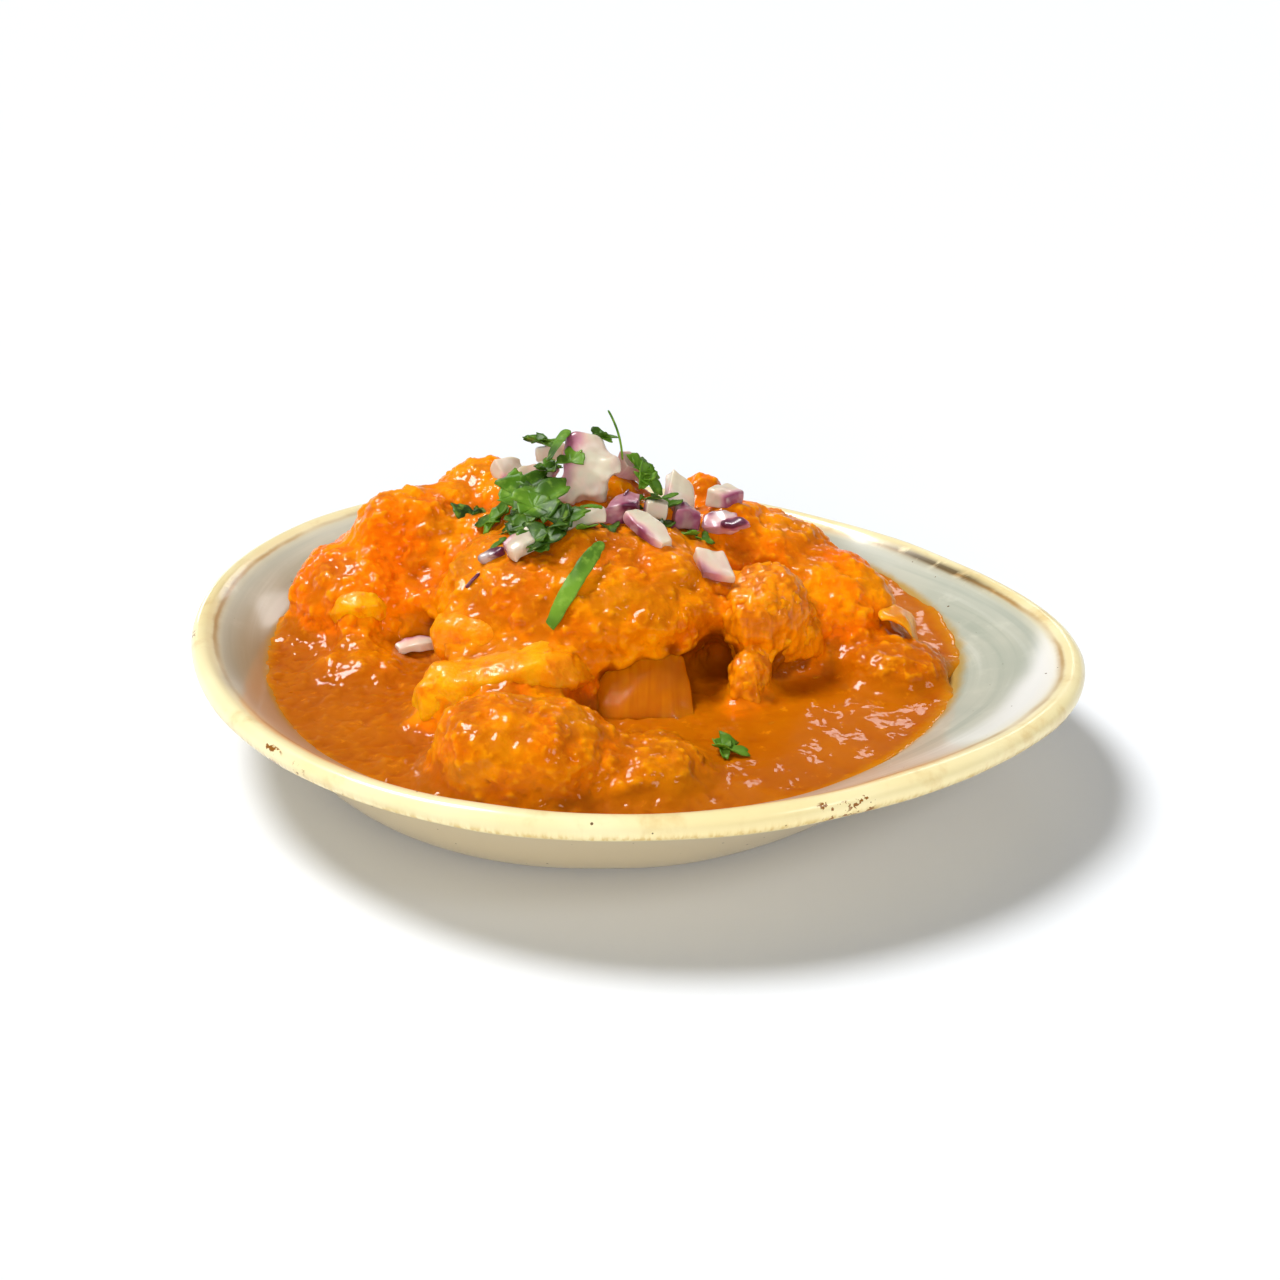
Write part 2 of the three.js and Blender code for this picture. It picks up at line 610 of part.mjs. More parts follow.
serve('bowl', makeBowl(), finish('#d6d3b8', 0.25));
makeFood();
const heapCount = made.length;
makeGarnish();

// The bowl's plan is centred on the Z axis.
const bounds = new THREE.Box3().setFromObject(table.getObjectByName('bowl'));
const centre = bounds.getCenter(new THREE.Vector3());
table.position.set(-centre.x, -centre.y, 0);

export default table;
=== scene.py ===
# %% [markdown]
# # A bowl of mango chicken curry
# A hand-made stoneware bowl, a thick glossy sauce, pieces of chicken and mango under a coat of it, and
# raw red onion and coriander on top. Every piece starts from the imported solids, which hold its size and
# place.

import math

import bpy
import numpy as np
from mathutils import Matrix, Vector, noise
from mathutils.bvhtree import BVHTree
from mathutils.kdtree import KDTree


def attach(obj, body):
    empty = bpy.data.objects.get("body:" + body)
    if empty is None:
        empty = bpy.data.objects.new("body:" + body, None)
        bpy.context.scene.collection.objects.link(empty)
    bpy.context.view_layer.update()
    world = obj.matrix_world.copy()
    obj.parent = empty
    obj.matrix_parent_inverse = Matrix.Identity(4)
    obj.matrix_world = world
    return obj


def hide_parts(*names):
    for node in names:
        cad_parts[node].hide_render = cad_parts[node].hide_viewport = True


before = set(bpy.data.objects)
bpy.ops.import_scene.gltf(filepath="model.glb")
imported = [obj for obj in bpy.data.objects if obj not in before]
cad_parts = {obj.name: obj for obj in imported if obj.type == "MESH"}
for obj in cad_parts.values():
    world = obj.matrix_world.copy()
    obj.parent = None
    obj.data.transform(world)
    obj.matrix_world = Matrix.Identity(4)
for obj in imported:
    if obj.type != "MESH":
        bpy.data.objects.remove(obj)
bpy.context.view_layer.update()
MM = 0.001

# %% [markdown]
# ## Small helpers
# An operator works on everything that is selected, so each one is preceded by a clean selection.

# %% Selecting, copying and finishing with modifiers
def only(*objects):
    bpy.ops.object.select_all(action="DESELECT")
    for item in objects:
        item.select_set(True)
    bpy.context.view_layer.objects.active = objects[-1]


def edit(obj, select="SELECT"):
    only(obj)
    bpy.ops.object.mode_set(mode="EDIT")
    bpy.ops.mesh.select_all(action=select)


def leave_edit():
    bpy.ops.object.mode_set(mode="OBJECT")


def apply_modifier(obj, kind, **settings):
    only(obj)
    modifier = obj.modifiers.new(kind.title(), kind)
    for key, value in settings.items():
        setattr(modifier, key, value)
    bpy.ops.object.modifier_apply(modifier=modifier.name)


def copy_node(node, name, grow=0.0):
    """A merged copy of a CAD node, swollen by some millimetres."""
    obj = bpy.data.objects.new(name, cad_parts[node].data.copy())
    bpy.context.scene.collection.objects.link(obj)
    obj.data.materials.clear()
    edit(obj)
    bpy.ops.mesh.remove_doubles(threshold=0.005 * MM)
    if grow:
        bpy.ops.transform.shrink_fatten(value=grow * MM)
    leave_edit()
    return obj


def join(objects, name):
    only(*objects)
    bpy.ops.object.join()
    obj = bpy.context.view_layer.objects.active
    obj.name = name
    obj.data.name = name
    return obj


def smooth_shading(obj):
    only(obj)
    bpy.ops.object.shade_smooth()


def report(obj):
    obj.data.calc_loop_triangles()
    size = [round(value / MM, 1) for value in obj.dimensions]
    print(obj.name, len(obj.data.loop_triangles), "triangles", size, "mm")


# %% Reading and writing the points of a mesh
def points(obj):
    values = np.empty(len(obj.data.vertices) * 3, np.float32)
    obj.data.vertices.foreach_get("co", values)
    return values.reshape(-1, 3) / MM


def set_points(obj, places):
    obj.data.vertices.foreach_set("co", (places * MM).astype(np.float32).ravel())
    obj.data.update()


def set_attribute(obj, name, values):
    layer = obj.data.attributes.new(name, "FLOAT", "POINT")
    layer.data.foreach_set("value", np.asarray(values, np.float32))


def even_out(obj, values, rounds):
    """Averages a value with that of the neighbouring points, some rounds over."""
    edges = np.empty(len(obj.data.edges) * 2, np.int32)
    obj.data.edges.foreach_get("vertices", edges)
    first, second = edges.reshape(-1, 2).T
    count = np.bincount(first, minlength=len(values)) + np.bincount(second, minlength=len(values))
    for _ in range(rounds):
        total = np.bincount(first, values[second], len(values))
        total = total + np.bincount(second, values[first], len(values))
        values = 0.4 * values + 0.6 * total / np.maximum(count, 1)
    return values


def step(value, low, high):
    share = np.clip((value - low) / (high - low), 0, 1)
    return share * share * (3 - 2 * share)


def group(obj, name, weights):
    layer = obj.vertex_groups.new(name=name)
    levels = np.round(np.clip(weights, 0, 1) * 20).astype(int)
    for level in np.unique(levels):
        layer.add(np.flatnonzero(levels == level).tolist(), level / 20, "REPLACE")


def pattern(name, kind, size_mm, **settings):
    texture = bpy.data.textures.new(name, kind)
    texture.noise_scale = size_mm * MM
    for key, value in settings.items():
        setattr(texture, key, value)
    return texture


def displace(obj, texture, depth_mm, middle=0.5, weights=""):
    apply_modifier(
        obj, "DISPLACE", texture=texture, texture_coords="LOCAL", strength=depth_mm * MM,
        mid_level=middle, vertex_group=weights,
    )


# %% Colours and shader nodes
def linear(code):
    """An sRGB hex colour as linear RGBA."""
    channels = [int(code[i:i + 2], 16) / 255 for i in (1, 3, 5)]
    return [c / 12.92 if c <= 0.04045 else ((c + 0.055) / 1.055) ** 2.4 for c in channels] + [1.0]


def new_material(name):
    """A material with one Principled shader. Returns the material, its tree and that shader."""
    material = bpy.data.materials.new(name)
    material.use_nodes = True
    tree = material.node_tree
    return material, tree, tree.nodes["Principled BSDF"]


def plug(tree, node, inputs):
    """Sets sockets by name or number. A value is a number, a hex colour or another socket, to link."""
    for key, value in inputs.items():
        socket = node.inputs[key]
        if isinstance(value, bpy.types.NodeSocket):
            tree.links.new(value, socket)
        else:
            socket.default_value = linear(value) if isinstance(value, str) else value


def add(tree, kind, settings=None, **inputs):
    """Adds a node. Settings are its own properties, and an input named i0 is its first socket."""
    node = tree.nodes.new(kind)
    for key, value in (settings or {}).items():
        setattr(node, key, value)
    plug(tree, node, {int(key[1:]) if key[1:].isdigit() else key: value for key, value in inputs.items()})
    return node


def mask(tree, *parts):
    """Where all parts overlap. A part is a socket, or a socket and its range: low, high, share at each."""
    product = None
    for part in parts:
        value, *limits = part if isinstance(part, tuple) else (part,)
        if limits:
            span = {f"i{number}": limit for number, limit in enumerate(limits, 1)}
            smooth = {"interpolation_type": "SMOOTHSTEP"}
            value = add(tree, "ShaderNodeMapRange", smooth, i0=value, **span).outputs[0]
        if product is not None:
            value = add(tree, "ShaderNodeMath", {"operation": "MULTIPLY"}, i0=product, i1=value).outputs[0]
        product = value
    return product


def lay_over(tree, colour, *layers):
    """Lays colours over a colour, one after another. A layer is its colour and the parts of its mask."""
    for over, *parts in layers:
        share = mask(tree, *parts)
        colour = add(tree, "ShaderNodeMix", {"data_type": "RGBA"}, i0=share, i6=colour, i7=over).outputs[2]
    return colour


def place_of(tree, scale=(1, 1, 1), turn=(0, 0, 0)):
    """Object coordinates, in metres, scaled and turned."""
    source = add(tree, "ShaderNodeTexCoord").outputs["Object"]
    return add(tree, "ShaderNodeMapping", Vector=source, Scale=scale, Rotation=turn).outputs[0]


def speckle(tree, size_mm, detail=2.0, rough=0.5, warp=0.0):
    """Noise with blotches of about this size."""
    node = add(
        tree, "ShaderNodeTexNoise", Vector=place_of(tree), Scale=0.5 / (size_mm * MM),
        Detail=detail, Roughness=rough, Distortion=warp,
    )
    return node.outputs[0]


def dress(obj, material, slot, *nodes):
    """Gives a piece its material, hides the solids it replaces and rides it on the bowl's body. Slot is not
    used.
    """
    obj.data.materials.clear()
    obj.data.materials.append(material)
    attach(obj, "root")
    if nodes:
        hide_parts(*nodes)
    report(obj)


# %% [markdown]
# ## The camera
# The photograph looks down on the bowl by about 25 degrees, from 37 cm in front of its middle.

# %% Camera at the photograph's view
camera_data = bpy.data.cameras.new("photo_view")
camera_data.sensor_width = 36
camera_data.lens = 39.9
camera_data.clip_start = 0.01
camera = bpy.data.objects.new("photo_view", camera_data)
camera.location = (3.84 * MM, -372.58 * MM, 199.7 * MM)
camera.rotation_euler = (math.radians(64.67), 0, 0)
bpy.context.scene.collection.objects.link(camera)
bpy.context.scene.camera = camera
print("camera at", [round(value / MM) for value in camera.location], "mm")

# %% [markdown]
# ## The bowl
# Stoneware thrown and then pushed out of round by hand, dipped in a cream glaze and lined with a grey-green
# one. The facets of the solid are turned to quads and smoothed by subdivision, and a slow unevenness, as
# fingers leave, is pressed in. It bends the reflections as the real glaze does.

# %% The bowl's form
RIM_RADIUS = 114.3
RIM_HEIGHT = 30.7
PLAN_MIDDLE = np.array([-6.3585, -0.7789])
POOL_LEVEL = 24.1


def rim_stretch(angle):
    """How far the rim lies outside its circle, with the same waves as in the solid."""
    from_lip = (angle - math.radians(-15) + math.pi) % (2 * math.pi) - math.pi
    oval = 6.3 * np.cos(2 * (angle - math.radians(-38)))
    egg = 1.3 * np.cos(3 * (angle - math.radians(3)))
    lip = 11.6 * np.exp(-((from_lip / math.radians(26.4)) ** 2))
    return oval + egg + lip + 0.7 * np.sin(angle)


def away_from(angle, bearing):
    """Degrees round the bowl from a bearing, from -180 to 180."""
    return (np.degrees(angle) - bearing + 180) % 360 - 180


def rim_lift(angle):
    return 1.4 * np.cos(angle - math.radians(-109)) + np.cos(2 * (angle - math.radians(-38)))


bowl = copy_node("bowl", "stoneware_bowl")
edit(bowl)
bpy.ops.mesh.tris_convert_to_quads(face_threshold=math.radians(60), shape_threshold=math.radians(60))
leave_edit()
apply_modifier(bowl, "SUBSURF", levels=2, render_levels=2)
displace(bowl, pattern("finger_marks", "CLOUDS", 38, noise_depth=1), 0.9)
smooth_shading(bowl)

place = points(bowl)
place[:, 2] = np.maximum(place[:, 2], 0.0)
set_points(bowl, place)
# How far each point lies outside the rim's line and above it, in millimetres, and its way round that line.
offset = place[:, :2] - PLAN_MIDDLE
angle = np.arctan2(offset[:, 1], offset[:, 0])
across = np.hypot(offset[:, 0], offset[:, 1]) - RIM_RADIUS - rim_stretch(angle)
above = place[:, 2] - RIM_HEIGHT - rim_lift(angle)
turn = np.degrees(np.arctan2(above, across))
reach = np.hypot(across, above)
upward = np.array([v.normal.z > 0.05 for v in bowl.data.vertices])
inside = step(-across, 3.2, 5.4) * upward
set_attribute(bowl, "lining", even_out(bowl, inside, 2))
inner_edge = np.exp(-((-across - 3.5) / 1.5) ** 2) * upward
# Burnt streaks along the inner edge: bearing and width in degrees, and strength.
STREAKS = ((21, 12, 1.2), (172, 5, 0.45), (130, 7, 0.35), (205, 4, 0.4))
streaks = sum(weight * np.exp(-(away_from(angle, at) / wide) ** 2) for at, wide, weight in STREAKS)
set_attribute(bowl, "burn", inner_edge * np.clip(streaks, 0, 1))
# Small burnt marks on the roll itself: bearing, millimetres out of the inner line and width in degrees.
MARKS = ((-60.7, 2.3, 1.6), (-64.5, 1.9, 0.8), (-134, 2.0, 1.5), (-128, 2.4, 0.9), (-172, 1.6, 1.2))
MARK_HEIGHT = 0.8
marks = sum(
    np.exp(-(away_from(angle, at) / wide) ** 2 - ((across - out) / MARK_HEIGHT) ** 2)
    for at, out, wide in MARKS
)
set_attribute(bowl, "mark", np.clip(marks, 0, 1))
# The glaze is thicker, and greyer, on the far side.
set_attribute(bowl, "thick_glaze", 0.65 * inside * np.exp(-(away_from(angle, 55) / 32) ** 2))
# At the pulled-out lip a window's reflection in the curved wall is painted: a pale band near the rim and a
# darker grey ring further in.
from_lip = away_from(angle, -12)
ring_at = 4.0 + 12.0 * step(-from_lip, -20, 14)
at_lip = np.exp(-(from_lip / 30) ** 2) * inside
painted_window_band = step(-across, 1.5, 3.0) * (1 - step(-across - ring_at, -3.5, -1.0))
set_attribute(bowl, "painted_window_band", even_out(bowl, at_lip * painted_window_band, 3))
painted_dark_ring = at_lip * np.exp(-((-across - ring_at - 0.6) / 1.9) ** 2)
set_attribute(bowl, "painted_dark_ring", even_out(bowl, painted_dark_ring, 3))
set_attribute(bowl, "from_rim", -across / 60)
set_attribute(bowl, "round", np.abs(angle) / math.pi)
# Painted reflection: the wall just above the pool on the left is tinted brown where it mirrors the curry.
low_on_wall = 1 - step(place[:, 2], POOL_LEVEL + 4, POOL_LEVEL + 11)
set_attribute(bowl, "painted_curry_reflection", 0.9 * low_on_wall * inside * np.exp(-(away_from(angle, 195) / 42) ** 2))
# The lower outer edge of the roll.
under_edge = np.exp(-((turn + 35) / 26) ** 2) * (reach < 7)
set_attribute(bowl, "under_edge", under_edge)
print("bowl", len(place), "points")

# %% [markdown]
# The glaze is glass over stoneware: a clear, very smooth coat over a colour that pools and breaks. It breaks
# to warm yellow and brown where it runs thin, at both edges of the roll, and iron in the clay burns through
# as fine specks.

# %% Reactive stoneware glaze
glaze, tree, shader = new_material("reactive_stoneware_glaze")
lining, from_rim, round_the_bowl, thick_glaze, painted_dark_ring, painted_window_band, under_edge, burn, mark, painted_curry_reflection = [
    add(tree, "ShaderNodeAttribute", {"attribute_name": name}).outputs["Fac"]
    for name in (
        "lining", "from_rim", "round", "thick_glaze", "painted_dark_ring", "painted_window_band", "under_edge", "burn",
        "mark", "painted_curry_reflection",
    )
]
broad = speckle(tree, 22, detail=3)
cloudy = speckle(tree, 5, detail=4, rough=0.6)
stroke_place = add(tree, "ShaderNodeCombineXYZ", X=from_rim, Y=round_the_bowl).outputs[0]
stroke_place = add(tree, "ShaderNodeMapping", Vector=stroke_place, Scale=(7, 1.6, 1)).outputs[0]
strokes = add(
    tree, "ShaderNodeTexNoise", Vector=stroke_place, Scale=1.6, Detail=3.0, Roughness=0.55, Distortion=0.3,
).outputs[0]
green = lay_over(
    tree, "#cccbb8",
    ("#b9bcab", (broad, 0.35, 0.65)),
    ("#d8d8c6", (cloudy, 0.5, 0.72, 0, 0.5)),
    # Brush strokes run round the lining, and the glaze is paler close to the rim.
    ("#98a190", (strokes, 0.48, 0.66, 0, 0.6)),
    ("#dfe0d2", (strokes, 0.46, 0.34, 0, 0.5)),
    ("#e4e3d6", (from_rim, 0.24, 0.1, 0, 0.3)),
    ("#98a493", thick_glaze),
    # Painted reflection at the lip: the darker grey ring and the near-white band.
    ("#8c978b", (painted_dark_ring, 0.0, 1.0, 0, 0.75)),
    ("#f4f3ee", (painted_window_band, 0.1, 0.7, 0, 0.9)),
)
cream = lay_over(tree, "#faefc0", ("#f0dea4", (broad, 0.3, 0.7)), ("#e2c687", (cloudy, 0.52, 0.75, 0, 0.7)))
height = add(tree, "ShaderNodeSeparateXYZ", Vector=place_of(tree)).outputs["Z"]
edge = add(
    tree, "ShaderNodeMath", {"operation": "MULTIPLY_ADD"}, i0=cloudy, i1=0.35, i2=lining,
).outputs[0]
# Iron specks of about half a millimetre.
specks = add(tree, "ShaderNodeTexVoronoi", Vector=place_of(tree), Scale=1 / (5.5 * MM), Randomness=1.0)
speck_size = mask(tree, speckle(tree, 9), 0.1)
specks = add(
    tree, "ShaderNodeMath", {"operation": "LESS_THAN"}, i0=specks.outputs["Distance"], i1=speck_size,
).outputs[0]
flecks = speckle(tree, 3.2, detail=5, rough=0.75)
streaky = add(
    tree, "ShaderNodeTexNoise", Vector=place_of(tree, (1, 1, 0.12)), Scale=900.0, Detail=2.0,
).outputs[0]
broken = speckle(tree, 4.5, detail=4, rough=0.6, warp=0.5)
spotty = mask(tree, mark, (speckle(tree, 1.2, detail=3, rough=0.7), 0.5, 0.56))
climb = add(
    tree, "ShaderNodeMath", {"operation": "MULTIPLY_ADD"}, i0=cloudy, i1=-2.0 * MM, i2=height,
).outputs[0]
colour = lay_over(
    tree, "#c9b793",
    (cream, (height, 24 * MM, 29 * MM)),
    (green, lining),
    # The thin, burnt edge where the lining meets the roll.
    ("#b58a4a", (edge, 0.22, 0.5), (edge, 0.55, 0.95, 1, 0), (broad, 0.4, 0.6, 0.25, 0.9)),
    ("#6d5636", specks),
    # A few burnt flecks on the roll, some millimetres long.
    ("#8a5a22", (flecks, 0.68, 0.74), (speckle(tree, 30), 0.56, 0.62)),
    # The outer edge of the roll, where the glaze ran thin in fine upright streaks.
    ("#d2b061", under_edge, (streaky, 0.38, 0.66, 0.15, 0.85)),
    # Brown-black streaks where the glaze burnt off the inner edge, and small burnt marks on the roll.
    ("#54421f", burn, (broken, 0.34, 0.46, 0.25, 1.0)),
    ("#8f5a1c", (spotty, 0.25, 0.5)),
    # A painted reflection of the curry on the left wall, and oil that climbs the wall just above the pool.
    ("#a3875c", painted_curry_reflection),
    ("#b8902a", (climb, (POOL_LEVEL - 0.2) * MM, (POOL_LEVEL + 1.3) * MM, 0.85, 0), lining),
)
plug(tree, shader, {
    "Base Color": colour, "Roughness": 0.28, "IOR": 1.5, "Specular IOR Level": 0.25, "Coat Weight": 0.4,
    "Coat Roughness": 0.1,
    "Normal": add(tree, "ShaderNodeBump", Strength=0.5, Distance=0.06 * MM, Height=cloudy).outputs[0],
})
dress(bowl, glaze, "glazed_stoneware", "bowl")

# %% [markdown]
# ## Sauce and the pieces under it
# A thick sauce coats everything it touches, so chicken and pool have one unbroken skin. Copies of the
# sauce and of every lump are joined and remeshed into one body, and smoothing then rounds the creases
# between the pieces, as sauce fills them. Mango and bare chicken go in a little smaller, because their own
# pieces follow.

# %% One skin of sauce over pool and chicken
chicken = sorted(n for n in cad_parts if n.startswith("chicken"))
mango = sorted(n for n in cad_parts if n.startswith("mango"))
BARE_CHICKEN = ["chicken_fibrous", "chicken_shreds"]
# Millimetres of coat that filling the gaps leaves on everything.
COAT = 0.2
# Millimetres that a piece grows by under its coat, or shrinks by where it has its own piece on top.
COATED = 0.6
BARE = -0.5
WIDENED = 1.045
SKIN_VOXEL = 0.74
DRAWN_IN = 0.065
LIFTED = 1.6


def fill_gaps(obj, radius, voxel=1.0):
    """Fills every crease and gap narrower than twice this radius (mm), as thick sauce does."""
    apply_modifier(obj, "REMESH", mode="VOXEL", voxel_size=voxel * MM, adaptivity=0.0)
    apply_modifier(obj, "DISPLACE", strength=radius * MM, mid_level=0.0)
    apply_modifier(obj, "REMESH", mode="VOXEL", voxel_size=voxel * MM, adaptivity=0.0)
    apply_modifier(obj, "SMOOTH", factor=0.5, iterations=6)
    apply_modifier(obj, "DISPLACE", strength=(COAT - radius) * MM, mid_level=0.0)


def under_piece(node):
    """A copy of one piece, a little larger if sauce coats it and a little smaller if it shows bare."""
    if node != "sauce":
        return copy_node(node, node + "_under", BARE if node in mango + BARE_CHICKEN else COATED)
    pool = copy_node(node, "pool_under", 1.0)
    place = points(pool)
    place[:, 2] -= 0.8
    # The rim of the pool goes into the bowl's wall, so that no gap shows round it.
    place[:, :2] = PLAN_MIDDLE + (place[:, :2] - PLAN_MIDDLE) * WIDENED
    set_points(pool, place)
    return pool


def under_skin(names, name, radius):
    """The pieces of one part of the heap, with the sauce between them."""
    obj = join([under_piece(n) for n in names], name)
    fill_gaps(obj, radius)
    return obj


# Parts of the heap, the pieces in each, and the radius (mm) of the gaps that sauce fills there.
SKINS = (
    ("left_side", 9.0, (
        "chicken_back_left", "chicken_left", "chicken_centre", "chicken_crown", "chicken_back_top",
        "mango_left",
    )),
    ("right_side", 6.0, (
        "chicken_right", "chicken_peek", "chicken_back_right", "chicken_crown", "chicken_centre",
    )),
    ("front_side", 6.0, ("chicken_front", "chicken_front_small", "mango_slice", "sauce")),
    ("middle", 5.0, ("mango_slice", "chicken_centre", "mango_lobe")),
    ("left_foot", 7.0, ("chicken_left", "chicken_back_left", "chicken_low_left", "mango_left", "sauce")),
    ("back_foot", 11.0, (
        "chicken_back_left", "chicken_back_top", "chicken_back_right", "chicken_crown", "sauce",
    )),
    ("right_foot", 6.0, ("chicken_peek", "chicken_back_right", "chicken_right", "sauce")),
)
parts = [under_skin(names, name, radius) for name, radius, names in SKINS]
parts += [under_piece(n) for n in ["chicken_low_left", "chicken_low_right", "sauce"] + BARE_CHICKEN]
curry = join(parts, "curry_sauce_and_chicken")
fill_gaps(curry, 3.4)
apply_modifier(curry, "REMESH", mode="VOXEL", voxel_size=SKIN_VOXEL * MM, adaptivity=0.0)
apply_modifier(curry, "SMOOTH", factor=0.5, iterations=5)
# Below the pool's surface the skin is drawn in again and its underside is lifted, so that it stays inside
# the bowl's wall.
place = points(curry)
sunk = step(POOL_LEVEL - 0.6 - place[:, 2], 0.0, 2.0)
place[:, :2] = PLAN_MIDDLE + (place[:, :2] - PLAN_MIDDLE) * (1 - DRAWN_IN * sunk)[:, None]
place[:, 2] += LIFTED * step(POOL_LEVEL - 4 - place[:, 2], 0.0, 4.0)
set_points(curry, place)
print("curry", len(curry.data.polygons), "faces")

# %% What lies under each point of the skin
place = points(curry)
nearest = KDTree(sum(len(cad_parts[n].data.vertices) for n in chicken + mango + ["sauce"]))
owners = []
for name in chicken + mango + ["sauce"]:
    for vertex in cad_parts[name].data.vertices:
        nearest.insert(vertex.co, len(owners))
        owners.append(name)
nearest.balance()
owner = np.array([owners[nearest.find(Vector(p) * MM)[1]] for p in place])
# How bright the coat is over each piece: orange where it is thin over chicken or fruit, browner in the
# middle.
BRIGHT = {
    "chicken_back_left": 1.0, "chicken_back_top": 1.0, "chicken_left": 0.75, "chicken_right": 0.85,
    "chicken_front": 0.45, "chicken_peek": 0.9, "chicken_back_right": 0.65, "chicken_crown": 0.5,
    "chicken_centre": 0.42, "chicken_fibrous": 0.5, "chicken_shreds": 0.5, "chicken_front_small": 0.15,
    "chicken_low_right": 0.2, "chicken_low_left": 0.25, "sauce": 0.0,
    "mango_left": 0.8, "mango_lobe": 0.85, "mango_slice": 0.9,
}
# How thickly sauce lies on each piece: 0 shows every crumb, 1 is a smooth film.
FILM = {
    "chicken_centre": 0.35, "chicken_crown": 0.3, "chicken_low_left": 0.5, "chicken_low_right": 0.5,
    "chicken_back_left": 0.2, "chicken_front_small": 0.3, "sauce": 1.0,
}
bright = even_out(curry, np.array([BRIGHT[n] for n in owner]), 16)
over_pool = step(place[:, 2], POOL_LEVEL + 0.6, POOL_LEVEL + 5)
heap = even_out(curry, over_pool, 4)
patches = np.array([noise.noise(Vector(p) / 11) + 0.5 * noise.noise(Vector(p) / 5) for p in place])
film = even_out(curry, np.array([FILM.get(n, 0.1) for n in owner]), 10) + step(patches, -0.15, 0.4) * 0.8
film = np.clip(film, 0, 1)
crumbly = heap * (1 - 0.5 * film)
top = place[:, 2] > POOL_LEVEL - 2
group(curry, "pool", (1 - heap) * top)
lumpy = (1 - heap) * top * step(-place[:, 0], -45, 10)
group(curry, "lumpy_pool", lumpy)
set_attribute(curry, "bright", bright)
set_attribute(curry, "mound", heap)
set_attribute(curry, "film", film)
# Where the pool runs thin up the bowl's wall: the last millimetres inside its outline.
from_middle = place[:, :2] - PLAN_MIDDLE
way = np.degrees(np.arctan2(from_middle[:, 1], from_middle[:, 0])).astype(int) % 360
far = np.hypot(from_middle[:, 0], from_middle[:, 1])
outline = np.zeros(360)
np.maximum.at(outline, way[top], far[top])
set_attribute(curry, "thin", step(far - outline[way], -6.5, -1.5) * top * (1 - heap))
group(curry, "heap", heap * (1 - step(far - outline[way], -8, -2)))
print("owners", len(set(owner)), "heap share", round(float(heap.mean()), 2))

# %% [markdown]
# The relief comes in steps, from large to small: slow swells, rounded lumps of onion and chicken, and crumbs
# of 1 to 5 mm that stand out of a smooth coat. The heap's relief fades out close to the pool's edge.

# %% Relief of the sauce and the heap
displace(curry, pattern("swells", "CLOUDS", 11, noise_depth=2), 3.0, weights="heap")
displace(curry, pattern("lumps", "CLOUDS", 6.0, noise_depth=1), 1.9, weights="heap")
displace(curry, pattern("bumps", "CLOUDS", 3.2, noise_depth=1), 0.7, weights="heap")
displace(curry, pattern("pool_swells", "CLOUDS", 10, noise_depth=2), 1.2, weights="pool")
displace(curry, pattern("pool_lumps", "CLOUDS", 4.5, noise_depth=1), 1.2, weights="lumpy_pool")


def crumbs(place, size, low, high, shift):
    """Crumbs of this size (mm) that stand out of a smooth coat, from 0 to 1."""
    return step(np.array([noise.noise(Vector(p) / size + shift) for p in place]), low, high)


def add_crumbs(obj, amount):
    place = points(obj)
    normal = np.array([v.normal[:] for v in obj.data.vertices])
    height = 0.5 * crumbs(place, 4.6, 0.0, 0.5, Vector((5, 0, 0)))
    height += 0.45 * crumbs(place, 2.3, 0.05, 0.5, Vector((0, 9, 0)))
    height += 0.3 * crumbs(place, 1.3, 0.0, 0.4, Vector((0, 0, 3)))
    set_points(obj, place + normal * (amount * (height - 0.2))[:, None])


add_crumbs(curry, np.maximum(crumbly, 0.2 * top + 0.5 * lumpy))


MOST_PRESSED = 4.0


def clear_of(obj, node, gap):
    """Presses the skin back wherever it comes nearer than this gap (mm) to a piece that lies bare."""
    bare = copy_node(node, "bare")
    tree = BVHTree.FromObject(bare, bpy.context.evaluated_depsgraph_get())
    place = points(obj)
    low, high = points(bare).min(0) - gap, points(bare).max(0) + gap
    for i in np.flatnonzero(((place > low) & (place < high)).all(1)):
        spot, normal, _, distance = tree.find_nearest(Vector(place[i]) * MM)
        outside = (Vector(place[i]) * MM - spot).dot(normal) > 0
        depth = gap - distance / MM if outside else gap + distance / MM
        if depth > 0:
            place[i] -= np.array(obj.data.vertices[i].normal) * min(depth, MOST_PRESSED)
    set_points(obj, place)
    bpy.data.objects.remove(bare)


clear_of(curry, "onion_cooked_curl", 0.3)
for name in ["mango_slice"] + BARE_CHICKEN:
    clear_of(curry, name, 0.4)
apply_modifier(curry, "SMOOTH", factor=0.3, iterations=1)
print("relief on", len(curry.data.vertices), "points")


# %% Thin out the hidden underside
def thin_out(obj, chosen_points, ratio):
    edit(obj, "DESELECT")
    leave_edit()
    corners = np.empty(len(obj.data.loops), np.int32)
    obj.data.loops.foreach_get("vertex_index", corners)
    starts = np.empty(len(obj.data.polygons), np.int32)
    obj.data.polygons.foreach_get("loop_start", starts)
    chosen = np.minimum.reduceat(chosen_points[corners], starts)
    obj.data.polygons.foreach_set("select", chosen.astype(bool))
    bpy.ops.object.mode_set(mode="EDIT")
    bpy.ops.mesh.decimate(ratio=ratio)
    leave_edit()


thin_out(curry, (points(curry)[:, 2] < POOL_LEVEL - 3.5).astype(int), 0.06)
mound = np.empty(len(curry.data.vertices), np.float32)
curry.data.attributes["mound"].data.foreach_get("value", mound)
high = points(curry)[:, 2] > POOL_LEVEL - 3
thin_out(curry, ((mound < 0.02) & high).astype(int), 0.35)
downward = np.array([v.normal.z < -0.25 for v in curry.data.vertices])
thin_out(curry, (downward & (points(curry)[:, 2] > POOL_LEVEL)).astype(int), 0.4)
smooth_shading(curry)
print("thinned to", len(curry.data.polygons), "faces")
